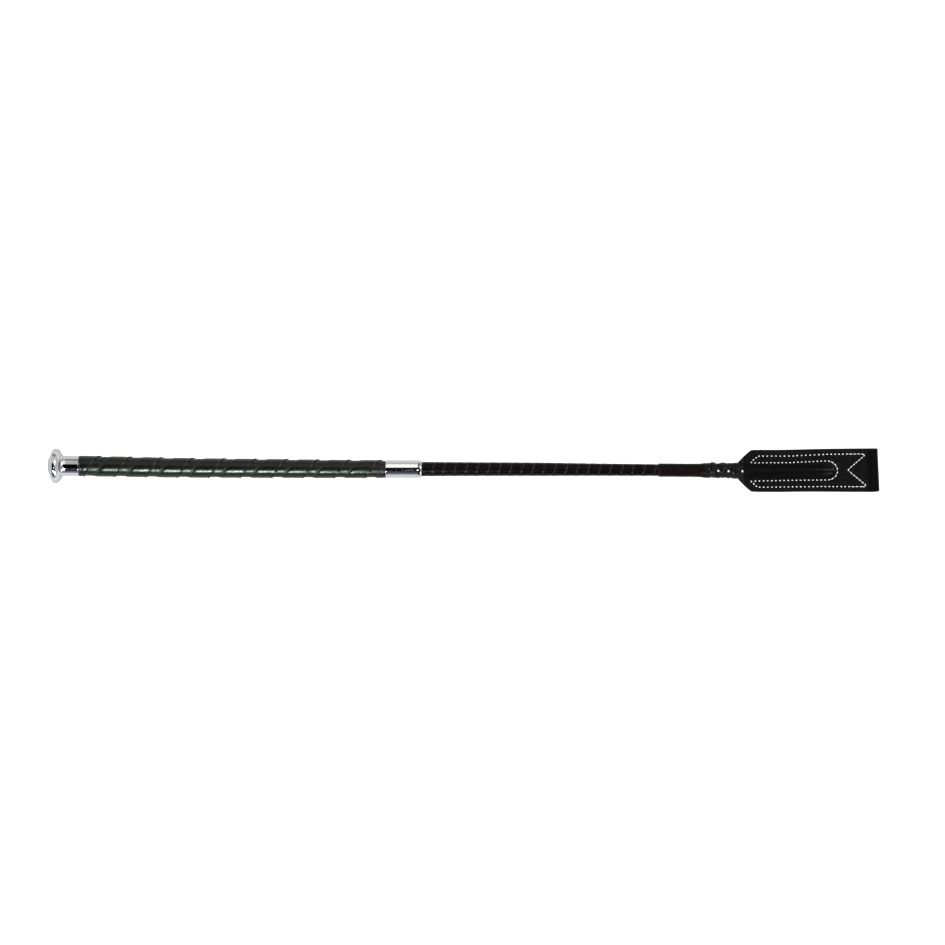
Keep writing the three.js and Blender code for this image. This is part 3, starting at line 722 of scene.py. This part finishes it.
def neck():
    seg = 120
    phi = np.linspace(0, 2 * np.pi, seg, endpoint=False)
    s_out = np.linspace(0, 1, 170)
    end = 213.3 + 2.9 * np.abs(np.cos(phi)) ** 1.5          # lapped edge, longest over the flats
    rows = []
    for s in s_out:
        x = 188.5 + (end - 188.5) * s
        r = neck_r(x, phi) + neck_disp(x, phi, 6.0)
        r = r - 0.30 * (1 - np.sqrt(np.clip(1 - ((0.008 - np.minimum(s, 0.008)) / 0.008) ** 2, 0, 1)))
        if s > 0.985:
            r = r - 0.35 * ((s - 0.985) / 0.015) ** 2
        rows.append((x, r))
    for s in np.linspace(1, 0, 40):
        x = 188.5 + (end - 188.5) * s
        rows.append((x, np.where(x > 211.6, 5.80, 3.3 + (5.80 - 3.3) * smooth(208.5, 211.6, x))))
    P = np.array([np.stack([x + 0 * phi, r * np.sin(phi), AZ + r * np.cos(phi)], -1) for x, r in rows])
    X = np.array([x + 0 * phi for x, _ in rows])
    A = np.repeat((np.mod(phi + np.pi, 2 * np.pi) - np.pi)[None], len(rows), 0)
    E = np.repeat(end[None], len(rows), 0)
    # paler line along the lapped edge: partly abraded, partly a painted reflection on its rim
    wear_and_sheen = 0.9 * gauss(X - E + 0.3, 0.45)
    # painted shade in the pinched hollows beside the ties
    pit_shade = 0 * X
    ty_of = dict(TIES)
    for tx, _ in TIES[:2]:
        pit_shade = np.maximum(pit_shade, gauss(X - tx - 1.9, 0.9) * gauss(A * 6.0 - ty_of[tx] - 2.0, 1.2))
        pit_shade = np.maximum(pit_shade, 0.9 * gauss(X - tx + 1.7, 0.65) * gauss(A * 6.0 - ty_of[tx] - 0.2, 1.1))
        pit_shade = np.maximum(pit_shade, 0.8 * gauss(X - tx - 1.6, 0.7) * gauss(A * 6.0 - ty_of[tx] + 2.2, 1.0))
    return shell("neck_gathered", P, NECK, wrap_n=True, attrs={"wear_and_sheen": wear_and_sheen, "pit_shade": pit_shade})


settle(neck(), "keeper_leather", "neck_leather", bend="neck")


# ---------------------------------------------------------------------- keeper
# outline: x, upper side, lower side
SIDE = np.array([
    (212.3, 5.6, -5.6), (213.9, 6.4, -6.3), (215.0, 7.6, -7.5), (216.0, 8.7, -8.6), (218.8, 11.6, -11.55),
    (221.5, 14.05, -14.0), (223.6, 15.7, -15.6), (224.4, 16.15, -16.2), (225.6, 16.30, -16.42), (231.0, 16.42, -16.55),
    (246.0, 16.52, -16.45), (262.0, 16.94, -16.15), (271.4, 17.24, -16.05), (280.8, 17.54, -16.0), (299.5, 17.91, -16.0),
    (318.0, 18.15, -15.95), (321.2, 18.22, -15.75), (325.5, 18.25, -14.95),
])
HALF_T = 2.4
BULGE = np.array([
    (212.3, 5.75), (216.3, 5.85), (224.0, 5.85), (250.0, 5.5), (270.0, 5.25), (280.0, 4.8), (284.0, 4.2),
    (287.0, 3.4), (290.0, 2.3), (292.5, 1.0),
])
# every run of stitching: the middle of its first and last stitch, and how many stitches it has
OUTER_RUNS = [
    ((223.68, 6.55), (225.20, 8.50), 2), ((227.32, 10.2), (229.5, 11.38), 2), ((232.62, 11.50), (256.2, 11.72), 8),
    ((259.3, 12.05), (279.6, 13.10), 7), ((282.75, 13.25), (307.27, 13.72), 9), ((310.55, 13.50), (311.62, 12.52), 2),
    ((309.63, 10.62), (301.49, 3.53), 5), ((299.32, 1.20), (299.32, 1.20), 1), ((301.53, -1.20), (310.55, -8.55), 5),
    ((312.75, -10.45), (311.6, -11.80), 2), ((309.25, -11.86), (278.35, -11.92), 11), ((275.2, -11.98), (230.14, -12.80), 15),
    ((227.56, -11.96), (223.63, -8.40), 3),
]
INNER_RUNS = [
    ((226.57, 6.14), (250.83, 6.47), 9), ((253.8, 6.62), (281.09, 8.06), 10), ((284.06, 7.90), (286.8, 6.98), 2),
    ((289.15, 5.05), (290.62, 2.15), 2), ((290.66, -0.97), (289.53, -3.75), 2), ((286.97, -5.76), (284.4, -6.65), 2),
    ((281.36, -6.75), (252.41, -7.27), 10), ((249.2, -7.38), (226.83, -7.98), 8),
]
PITCH = 3.1


def centres(runs):
    pts = []
    for (ax, ay), (bx, by), n in runs:
        for k in range(n):
            t = k / (n - 1) if n > 1 else 0
            pts.append((ax + (bx - ax) * t, ay + (by - ay) * t))
    return np.array(pts)


MID_O, MID_I = centres(OUTER_RUNS), centres(INNER_RUNS)
HOLES_O = (MID_O[:-1] + MID_O[1:]) / 2
HOLES_I = (MID_I[:-1] + MID_I[1:]) / 2
JOINED = [(297.0, 314.5), (283.0, 292.5)]       # where the thread shows between stitches, by x


def dist_to_path(x, y, path):
    d = np.full(np.shape(x), 1e9)
    for (ax, ay), (bx, by) in zip(path[:-1], path[1:]):
        ux, uy = bx - ax, by - ay
        t = np.clip(((x - ax) * ux + (y - ay) * uy) / (ux * ux + uy * uy), 0, 1)
        d = np.minimum(d, np.hypot(x - ax - t * ux, y - ay - t * uy))
    return d


def dist_to_points(x, y, pts):
    d = np.full(np.shape(x), 1e9)
    for px, py in pts:
        d = np.minimum(d, np.hypot(x - px, y - py))
    return d


def keeper_skin(x, y, side):
    """Height of the leather over the keeper's middle plane, without seams."""
    rb = np.interp(x, BULGE[:, 0], BULGE[:, 1])
    cy = np.interp(x, [212, 240, 292], [0.0, -0.7, 0.6])      # the channel wanders a little
    circle = np.sqrt(np.clip(rb ** 2 - (y - cy) ** 2, 0.0, None))
    flat = HALF_T + 0.12 * noise3(x, y, side * 9.0, 14.0) + 0.05 * noise3(x, y, side * 5.0, 4.0)
    k = 1.1
    h = np.clip(0.5 + 0.5 * (circle - flat) / k, 0, 1)
    return flat * (1 - h) + circle * h + k * h * (1 - h)


def calm(x, y):
    """1 where the leather is stretched smooth: over the channel and along the folded end."""
    w = 6.6 - 1.8 * smooth(280, 291, x)
    over = (1 - smooth(w - 1.4, w, np.abs(y + 0.2))) * (1 - smooth(287, 291, x))
    return np.maximum(over, smooth(312.5, 316.5, x))


def keeper():
    n_top, n_side = 120, 9
    xs = np.concatenate([np.linspace(212.3, 226.5, 58)[:-1], np.arange(226.5, 321.8, 0.36), ])
    fold_r = 1.7
    x_fold = 322.1
    xs = np.concatenate([xs[xs < x_fold - 0.3], [x_fold - 0.1], x_fold + fold_r * np.sin(np.linspace(0, np.pi / 2, 12))])
    t_top = np.linspace(-1, 1, n_top)
    t_top = np.sign(t_top) * (1 - (1 - np.abs(t_top)) ** 1.12)
    rows, wear_and_sheen_rows, pit_shade_rows, calms = [], [], [], []
    for x in xs:
        up = np.interp(x, SIDE[:, 0], SIDE[:, 1])
        dn = np.interp(x, SIDE[:, 0], SIDE[:, 2])
        end = np.clip((x - x_fold) / fold_r, 0, 1)
        squash = math.sqrt(max(0.0, 1 - end ** 2)) * 0.93 + 0.07 * (1 - end)
        corner = smooth(320.5, 323.8, x)
        e = 0.55
        mid, half = (up + dn) / 2, (up - dn) / 2 - e - 0.15 * corner ** 2
        y = mid + half * t_top
        loops = []
        for side in (1, -1):
            h = keeper_skin(x, y, side)
            do = dist_to_path(x + 0 * y, y, MID_O)
            di = dist_to_path(x + 0 * y, y, MID_I)
            ho = np.minimum(dist_to_points(x + 0 * y, y, HOLES_O), dist_to_points(x + 0 * y, y, HOLES_I))
            d = np.minimum(do, di)
            h = h - 0.34 * gauss(d, 0.60) - 0.30 * gauss(ho, 0.45) + 0.13 * gauss(d - 1.7, 0.9)
            h = h - 0.10 * gauss(x - 320.3, 0.5)                                        # crease before the fold
            edge = np.minimum(up - y, y - dn)
            rim = x - 216.7 - 0.010 * y * y + 0.25 * np.sin(y * 0.9)
            h = h + 0.30 * gauss(rim, 0.38) - 0.25 * gauss(rim + 0.8, 0.35) - 0.15 * gauss(rim - 0.9, 0.4)
            h = h - 0.10 * gauss(edge - 1.7, 0.22)                                     # pressed edge line
            h = h - 0.35 * (1 - smooth(e, e + 0.9, edge))
            h = np.maximum(h, 1.2) * squash
            loops.append((h, d, ho, edge))
        (h1, d1, o1, e1), (h2, d2, o2, e2) = loops
        # each leaf's cut edge, with the line where the two leaves meet
        hu, hd = h1[-1], h2[-1]
        notch = 0.40 * (1 - corner)
        q = np.array([0.18, 0.42, 0.70, 0.92, 1.0, 0.85, 0.55])
        out = np.array([0.34, 0.80, 0.97, 1.0, 1.0, 1.0, 1.0]) * e
        zt = np.array([0.93, 0.74, 0.52, 0.30, 0.17, 0.06, 0.0])
        out = np.array([0.45, 0.86, 1.0, 1.0, 0.90, 0.45, 0.20]) * e
        out[4:] -= notch * np.array([0.1, 0.5, 0.9])
        right_y = np.concatenate([y[-1] + out, (y[-1] + out)[::-1][1:]])
        right_z = np.concatenate([hu * zt, -(hd * zt)[::-1][1:]])
        left_y = np.concatenate([y[0] - out, (y[0] - out)[::-1][1:]])
        left_z = np.concatenate([-(h2[0] * zt), (h1[0] * zt)[::-1][1:]])
        Y = np.concatenate([y, right_y, y[::-1], left_y])
        Z = np.concatenate([h1, right_z, -h2[::-1], left_z])
        shear = smooth(313, 323.8, x) * ((Y - 1.0) / 16.0)
        X = x - 0.55 - 0.85 * shear
        bend = 0.0
        rows.append(np.stack([X, Y, AZ + Z + bend], -1))
        # painted reflection: a paler line along the rim where the keeper meets the neck, faded out over the middle;
        # the edge and fold terms are abrasion
        rim = gauss(x - 216.7 - 0.010 * y * y + 0.25 * np.sin(y * 0.9), 0.45)
        w_top = 0.10 * gauss(e1 - 0.6, 0.5) + 0.14 * gauss(x - x_fold - 0.9, 0.7) + 0.7 * rim * (1 - gauss(y, 2.0))
        w_side = np.full(13, 0.12)
        w_bot = (0.10 * gauss(e2 - 0.6, 0.5) + 0.14 * gauss(x - x_fold - 0.9, 0.7))[::-1]
        c_top = np.maximum(calm(x, y), 0)
        calms.append(np.concatenate([c_top, np.zeros(13), c_top[::-1], np.zeros(13)]))
        wear_and_sheen_rows.append(np.concatenate([w_top, w_side, w_bot, w_side]))
        # painted shade in the stitch holes, along the stitch lines and in the notch where the two leaves meet
        p_top = np.clip(0.85 * gauss(o1, 0.42) + 0.35 * gauss(d1, 0.5), 0, 1)
        p_bot = np.clip(0.85 * gauss(o2, 0.42) + 0.35 * gauss(d2, 0.5), 0, 1)[::-1]
        p_side = np.zeros(13)
        p_side[5:8] = 0.9 * (1 - corner)
        pit_shade_rows.append(np.concatenate([p_top, p_side, p_bot, p_side]))
    return shell("keeper_folded_leather", np.array(rows), KEEPER,
                 attrs={"wear_and_sheen": np.array(wear_and_sheen_rows), "pit_shade": np.array(pit_shade_rows), "calm": np.array(calms)})


settle(keeper(), "keeper_leather", "keeper_leather", bend="neck")


def stitch(p, q, za, zb, rise, radius=0.50, rings_n=9, sides=12, lean=0.0, sink=0.25):
    """One thread stitch from p to q: a twisted two-ply strand that dives in at both ends."""
    p, q = np.array(p, float), np.array(q, float)
    d = q - p
    L = np.linalg.norm(d)
    d = d / L
    nrm = np.array([-d[1], d[0]])
    verts, ply, pit_shade = [], [], []
    for i in range(rings_n):
        t = i / (rings_n - 1)
        s = t * L
        arch = math.sin(math.pi * t) ** 0.6
        z = lerp(za, zb, t) + rise * arch - sink * (1 - arch)
        c = p + d * s + nrm * lean * (t - 0.5)
        fat = radius * (0.40 + 0.60 * min(1.0, arch * 1.35))
        for k in range(sides):
            a = 2 * math.pi * k / sides
            b = a - 1.9 * s
            bulge = 0.86 + 0.14 * abs(math.cos(b))
            verts.append((c[0] + nrm[0] * fat * bulge * 1.12 * math.sin(a), c[1] + nrm[1] * fat * bulge * 1.12 * math.sin(a),
                          z + fat * bulge * 0.85 * math.cos(a)))
            ply.append(abs(math.cos(b)))
            # painted shade where the thread dives into the leather
            pit_shade.append(max(0.0, 1 - arch * 2.2))
    n = rings_n
    faces = grid_faces(n, sides)
    c0, c1 = n * sides, n * sides + 1
    verts.append((p[0], p[1], za - sink))
    verts.append((q[0], q[1], zb - sink))
    ply += [0.0, 0.0]
    pit_shade += [1.0, 1.0]
    faces += [(c0, (k + 1) % sides, k) for k in range(sides)]
    faces += [(c1, (n - 1) * sides + k, (n - 1) * sides + (k + 1) % sides) for k in range(sides)]
    return np.array(verts), faces, ply, pit_shade


def strand(points, side, radius=0.13, lift=0.0):
    """A thin run of thread lying on the leather through the given points."""
    pts = np.array(points, float)
    seg = np.linalg.norm(np.diff(pts, axis=0), axis=1)
    s = np.concatenate([[0], np.cumsum(seg)])
    at = np.arange(0, s[-1], 0.35)
    x, y = np.interp(at, s, pts[:, 0]), np.interp(at, s, pts[:, 1])
    z = keeper_skin(x, y, side) - 0.22 + lift
    tx, ty = np.gradient(x), np.gradient(y)
    ln = np.hypot(tx, ty)
    nx, ny = -ty / ln, tx / ln
    sides = 8
    V, ply, pit_shade = [], [], []
    for i in range(len(at)):
        for k in range(sides):
            a = 2 * math.pi * k / sides
            V.append((x[i] + nx[i] * radius * math.sin(a), y[i] + ny[i] * radius * math.sin(a), z[i] + radius * math.cos(a)))
            ply.append(abs(math.cos(a - 2.4 * at[i])))
            # painted shade: the sunken run of thread is a little darker all along
            pit_shade.append(0.25)
    n = len(at)
    F = grid_faces(n, sides)
    V += [(x[0], y[0], z[0]), (x[-1], y[-1], z[-1])]
    ply += [0.5, 0.5]
    pit_shade += [0.5, 0.5]
    F += [(n * sides, (k + 1) % sides, k) for k in range(sides)]
    F += [(n * sides + 1, (n - 1) * sides + k, (n - 1) * sides + (k + 1) % sides) for k in range(sides)]
    return np.array(V), F, ply, pit_shade


def seam(name, mids, side, node, ends):
    """Separate stitches: short and plump where the line is straight, long and joined on the corners."""
    V, F, PL, PT = [], [], [], []
    base = 0
    parts = []
    n = len(mids)
    for k, c in enumerate(mids):
        before, after = mids[max(0, k - 1)], mids[min(n - 1, k + 1)]
        if k == 0:
            d = after - c
        elif k == n - 1:
            d = c - before
        else:
            d = (after - c) / np.linalg.norm(after - c) + (c - before) / np.linalg.norm(c - before)
            if np.linalg.norm(d) < 0.9:
                d = after - c
        d = d / np.linalg.norm(d)
        joined = any(lo < c[0] < hi for lo, hi in ends) and abs(d[1]) > 0.2
        half = 1.05 if joined else 0.76
        half *= 1 + 0.05 * math.sin(k * 2.3)
        a2, b2 = c - d * half, c + d * half
        z = keeper_skin(np.array([a2[0], b2[0]]), np.array([a2[1], b2[1]]), side) - 0.34
        parts.append(stitch(a2, b2, z[0], z[1], 0.36, radius=0.37 if joined else 0.43, lean=0.0 if joined else 0.05 * math.sin(k * 1.7)))
    for lo, hi in ends:
        idx = [k for k, c in enumerate(mids) if lo < c[0] < hi]
        runs = np.split(idx, np.where(np.diff(idx) != 1)[0] + 1) if idx else []
        for run in runs:
            if len(run) > 2:
                parts.append(strand([mids[k] for k in run], side))
    for v, f, pl, pt in parts:
        v = v.copy()
        v[:, 2] = AZ + side * v[:, 2]
        if side < 0:
            f = [tuple(reversed(g)) for g in f]
        V.append(v)
        F += [tuple(i + base for i in g) for g in f]
        PL += pl
        PT += pt
        base += len(v)
    ob = make_oriented(name, np.vstack(V), F, THREAD, {"ply": PL, "pit_shade": PT})
    settle(ob, "white_thread", node, bend="neck")
    return ob


def make_oriented(name, verts, faces, mat, attrs):
    """As make, but the faces are already known to point out."""
    me = bpy.data.meshes.new(name)
    me.from_pydata((np.asarray(verts) * MM).tolist(), [], faces)
    me.polygons.foreach_set("use_smooth", np.ones(len(me.polygons), bool))
    for key, values in attrs.items():
        at = me.attributes.new(key, "FLOAT", "POINT")
        at.data.foreach_set("value", np.asarray(values, np.float32).ravel())
    me.update()
    ob = bpy.data.objects.new(name, me)
    bpy.context.scene.collection.objects.link(ob)
    ob.data.materials.append(mat)
    return ob


seam("seam_outer_front", MID_O, 1, "keeper_seam_outer_front", [(298.0, 313.2)])
seam("seam_inner_front", MID_I, 1, "keeper_seam_inner_front", [(283.5, 292.5)])
seam("seam_outer_back", MID_O, -1, "keeper_seam_outer_back", [(298.0, 313.2)])
seam("seam_inner_back", MID_I, -1, "keeper_seam_inner_back", [(283.5, 292.5)])

# white ties over the neck's seam
TIE_SHAPE = [(0.60, 0.80, 5.60, 0.66), (0.15, 0.85, 5.65, 0.68), (0.05, 0.95, 6.00, 0.62)]   # lean, half length, seat, radius
for i, ((tx, ty), (lean, half, top, rad)) in enumerate(zip(TIES, TIE_SHAPE)):
    v, f, pl, pt = stitch((tx - lean * half, ty + half), (tx + lean * half, ty - half), top, top, 0.42,
                          radius=rad, rings_n=14, sides=16, lean=0.0, sink=0.35)
    v[:, 2] += AZ
    ob = make("neck_white_tie_%d" % (i + 1), v, f, THREAD, {"ply": pl, "pit_shade": pt})
    if i == 0:
        settle(ob, "white_thread", "neck_tie_1", body="tip")
    elif i == 1:
        settle(ob, "white_thread", "neck_tie_2", bend="neck")
    else:
        settle(ob, "white_thread", "neck_tie_3", bend="neck")

tongue_x = np.linspace(206.4, 282.6, 60)
tongue = [(206.0, 2.3)] + [(x, 2.7 - 0.2 * (x - 206) / 77) for x in tongue_x] + [(284.0, 1.9), (284.6, 1.0)]
settle(turned("inner_tongue", tongue, TONGUE, 32), "tongue_leather", "keeper_tongue", bend="neck")

# the handle's hidden pieces follow its bow
stud = fillet([(-319.4, 0.4), (-319.4, 1.35, 0.2), (-319.1, 1.5, 0.2), (-306.5, 1.5, 0.2), (-306.2, 1.3, 0.2), (-306.2, 0.4)], 5)
settle(turned("cap_screw_stud", spread(stud, 0.4), STEEL, 32,
              disp=lambda x, ph, r: 0.07 * np.sin(2 * np.pi * x / 0.8 - ph) * (r > 1.2)),
       "steel", "cap_stud", body="handle")
core_x = np.linspace(-300.0, -62.9, 120)
rod_r = lambda x: lerp(3.6, 2.5, (x + 313.2) / 512.2)
core = ([(-313.1, 5.85)] + [(x, grip_r(x) - 2.18) for x in core_x] + [(x, rod_r(x) + 0.10) for x in core_x[::-1]]
        + [(-313.1, 3.72)])
settle(turned("moulded_handle_core", core, CORE, 56, closed=True,
              disp=lambda x, ph, r: 0.03 * noise3(x, 5 * np.sin(ph), 5 * np.cos(ph), 3.0) * (r > 4.5)),
       "core_plastic", "handle_core", body="handle")
bush_x = np.linspace(-61.8, -44.6, 30)
bush = [(x, 5.86 + 0 * x) for x in bush_x] + [(x, rod_r(x) + 0.10) for x in bush_x[::-1]]
settle(turned("moulded_ferrule_bush", bush, CORE, 48, closed=True), "core_plastic", "ferrule_bush", body="handle")
wind_x = np.linspace(151.7, 186.8, 150)
wind = [(x, 4.44 + 0.07 * math.sin(2 * math.pi * x / 0.9)) for x in wind_x] + [(x, rod_r(x) + 0.10) for x in wind_x[::-1]]
settle(turned("tip_thread_winding", wind, YARN, 40, closed=True), "yarn", "tip_winding", body="tip")

# ----------------------------------------------------------------- floor, light
FLOOR_Z = -0.060                      # low enough that the keeper clears it when it flaps down
bm_n = 48
gx = np.linspace(-3.0, 3.0, bm_n)
V = [(x, y, FLOOR_Z) for x in gx for y in gx]
F = [(i * bm_n + j, (i + 1) * bm_n + j, (i + 1) * bm_n + j + 1, i * bm_n + j + 1)
     for i in range(bm_n - 1) for j in range(bm_n - 1)]
me = bpy.data.meshes.new("studio_floor")
me.from_pydata(V, [], F)
floor = bpy.data.objects.new("studio_floor", me)
bpy.context.scene.collection.objects.link(floor)
m = Nodes("pale_floor")
speck = m.noise(m.coords(), 0.02, 3, 0.5)
floor.data.materials.append(m.done(m.mix(speck, (0.17, 0.17, 0.17), (0.19, 0.19, 0.19)), 0.9))
m.bsdf.inputs["Emission Color"].default_value = (1, 1, 1, 1)
m.bsdf.inputs["Emission Strength"].default_value = 0.94

world = bpy.data.worlds.new("light_tent")
bpy.context.scene.world = world
world.use_nodes = True
wt = world.node_tree
bg = wt.nodes["Background"]
tc = wt.nodes.new("ShaderNodeTexCoord")
sep = wt.nodes.new("ShaderNodeSeparateXYZ")
wt.links.new(tc.outputs["Generated"], sep.inputs[0])
at = wt.nodes.new("ShaderNodeMath")
at.operation = "ARCTAN2"
wt.links.new(sep.outputs["Y"], at.inputs[0])
wt.links.new(sep.outputs["Z"], at.inputs[1])
mr = wt.nodes.new("ShaderNodeMapRange")
mr.inputs["From Min"].default_value = -math.pi
mr.inputs["From Max"].default_value = math.pi
wt.links.new(at.outputs[0], mr.inputs["Value"])
cr = wt.nodes.new("ShaderNodeValToRGB")
cr.color_ramp.interpolation = "LINEAR"


def at_deg(d):
    return (d + 180) / 360


BANDS = [
    (-180, (1.0, 1.0, 1.02)), (-74, (0.95, 0.95, 0.98)), (-68, (1.15, 1.15, 1.18)), (-64, (0.14, 0.145, 0.17)),
    (-45, (0.23, 0.235, 0.26)), (-30, (0.12, 0.125, 0.14)), (-25, (0.006, 0.006, 0.007)), (14, (0.006, 0.006, 0.006)),
    (19, (1.2, 1.2, 1.15)), (25, (2.0, 2.02, 1.92)), (58, (2.0, 2.02, 1.92)), (68, (1.3, 1.3, 1.26)),
    (76, (0.9, 0.9, 0.9)), (180, (1.0, 1.0, 1.0)),
]
el = cr.color_ramp.elements
while len(el) < len(BANDS):
    el.new(0.5)
TOP = 2.6
for e, (deg, col) in zip(el, BANDS):
    e.position = at_deg(deg)
    e.color = (*[c / TOP for c in col], 1)
wt.links.new(mr.outputs["Result"], cr.inputs["Fac"])
high = wt.nodes.new("ShaderNodeMapRange")
high.interpolation_type = "SMOOTHSTEP"
high.inputs["From Min"].default_value = 0.02
high.inputs["From Max"].default_value = 0.15
wt.links.new(sep.outputs["Z"], high.inputs["Value"])


def wmath(op, a, b=None, clamp=False):
    n = wt.nodes.new("ShaderNodeMath")
    n.operation = op
    n.use_clamp = clamp
    for k, v in enumerate((a, b)):
        if v is None:
            continue
        if isinstance(v, (int, float)):
            n.inputs[k].default_value = v
        else:
            wt.links.new(v, n.inputs[k])
    return n.outputs[0]


ends = wt.nodes.new("ShaderNodeMapRange")
ends.interpolation_type = "SMOOTHSTEP"
for key, value in zip(("From Min", "From Max", "To Min", "To Max"), (0.45, 0.65, 1.0, 0.0)):
    ends.inputs[key].default_value = value
wt.links.new(wmath("ABSOLUTE", sep.outputs["X"]), ends.inputs["Value"])
mask = wmath("MULTIPLY", high.outputs["Result"], ends.outputs["Result"])
mixw = wt.nodes.new("ShaderNodeMix")
mixw.data_type = "RGBA"
wt.links.new(mask, mixw.inputs[0])
mixw.inputs[6].default_value = (1.0 / TOP, 1.0 / TOP, 1.01 / TOP, 1)
wt.links.new(cr.outputs["Color"], mixw.inputs[7])
# the lamps sit over the handle's end: along the crop the overhead light fades
fade = wt.nodes.new("ShaderNodeValToRGB")
spanx = wt.nodes.new("ShaderNodeMapRange")
spanx.inputs["From Min"].default_value = -0.4
spanx.inputs["From Max"].default_value = 0.4
wt.links.new(sep.outputs["X"], spanx.inputs["Value"])
wt.links.new(spanx.outputs["Result"], fade.inputs["Fac"])
ALONG = [(-0.40, 0.75), (-0.20, 0.45), (-0.13, 0.48), (-0.085, 0.80), (-0.05, 1.0), (-0.015, 0.95), (0.02, 0.55),
         (0.055, 0.25), (0.09, 0.12), (0.16, 0.10), (0.24, 0.35), (0.40, 0.8)]
fl = fade.color_ramp.elements
while len(fl) < len(ALONG):
    fl.new(0.5)
for e, (x, v) in zip(fl, ALONG):
    e.position = (x + 0.4) / 0.8
    e.color = (v, v, v, 1)
mixw2 = wt.nodes.new("ShaderNodeMix")
mixw2.data_type = "RGBA"
mixw2.blend_type = "MULTIPLY"
wt.links.new(mask, mixw2.inputs[0])
wt.links.new(mixw.outputs[2], mixw2.inputs[6])
wt.links.new(fade.outputs["Color"], mixw2.inputs[7])
# a slim, dim overhead strip seen along the shaft's and the keeper's top
off = wmath("DIVIDE", wmath("ADD", at.outputs[0], math.radians(13.5)), math.radians(5.0))
glow = wmath("POWER", math.e, wmath("MULTIPLY", wmath("MULTIPLY", off, off), -1.0))
alongs = wt.nodes.new("ShaderNodeValToRGB")
wt.links.new(spanx.outputs["Result"], alongs.inputs["Fac"])
SLIM = [(-0.40, 0.0), (-0.008, 0.0), (0.000, 0.9), (0.02, 0.8), (0.06, 0.34), (0.10, 0.12), (0.14, 0.09), (0.16, 0.0)]
sl = alongs.color_ramp.elements
while len(sl) < len(SLIM):
    sl.new(0.5)
for e, (x, v) in zip(sl, SLIM):
    e.position = (x + 0.4) / 0.8
    e.color = (v, v, v, 1)
glow = wmath("MULTIPLY", wmath("MULTIPLY", glow, alongs.outputs["Color"]), mask)
addw = wt.nodes.new("ShaderNodeMix")
addw.data_type = "RGBA"
addw.blend_type = "ADD"
addw.inputs[0].default_value = 1.0
wt.links.new(mixw2.outputs[2], addw.inputs[6])


def spot(deg, x, wide_deg, wide_x, level):
    """A soft patch of light in the tent, at an angle round the crop and a lean along it."""
    u = wmath("DIVIDE", wmath("ADD", at.outputs[0], -math.radians(deg)), math.radians(wide_deg))
    v = wmath("DIVIDE", wmath("ADD", sep.outputs["X"], -x), wide_x)
    d = wmath("ADD", wmath("MULTIPLY", u, u), wmath("MULTIPLY", v, v))
    return wmath("MULTIPLY", wmath("POWER", math.e, wmath("MULTIPLY", d, -1.0)), level / TOP)


extra = wmath("MULTIPLY", glow, 18.0 / TOP)
extra = wmath("ADD", extra, spot(23, 0.50, 12, 0.10, 30.0))
extra = wmath("ADD", extra, spot(-57, 0.48, 10, 0.10, 18.0))
wt.links.new(extra, addw.inputs[7])
wt.links.new(addw.outputs[2], bg.inputs["Color"])
bg.inputs["Strength"].default_value = TOP


def area(name, loc, size, power, target, color=(1, 1, 1)):
    li = bpy.data.lights.new(name, "AREA")
    li.shape = "RECTANGLE"
    li.size, li.size_y = size
    li.energy = power
    li.color = color
    o = bpy.data.objects.new(name, li)
    o.location = loc
    o.rotation_euler = (Vector(target) - Vector(loc)).to_track_quat("-Z", "Y").to_euler()
    bpy.context.scene.collection.objects.link(o)
    return o


# a slim strip lamp over the handle, seen only as the line of light on its leather
strip = area("strip_lamp", (-0.289, -0.675, 0.815), (0.242, 0.29), 12.5, (-0.289, 0, 0.0135), (0.97, 0.99, 1.0))

# --------------------------------------------------------------------- camera
cam_data = bpy.data.cameras.new("camera")
cam = bpy.data.objects.new("camera", cam_data)
bpy.context.scene.collection.objects.link(cam)
DIST = 1.90
cam.location = (0.00606, -0.00293, 0.0135 + DIST)
cam.rotation_euler = (0, 0, math.radians(0.41))
cam_data.sensor_fit = "HORIZONTAL"
cam_data.sensor_width = 36.0
cam_data.lens = 36.0 / 2 / (0.5 * 945 * 0.78125 * MM / DIST)
cam_data.clip_end = 30
bpy.context.scene.camera = cam
bpy.context.scene.view_settings.view_transform = "Standard"
bpy.context.scene.view_settings.look = "None"
bpy.context.scene.view_settings.gamma = 0.82
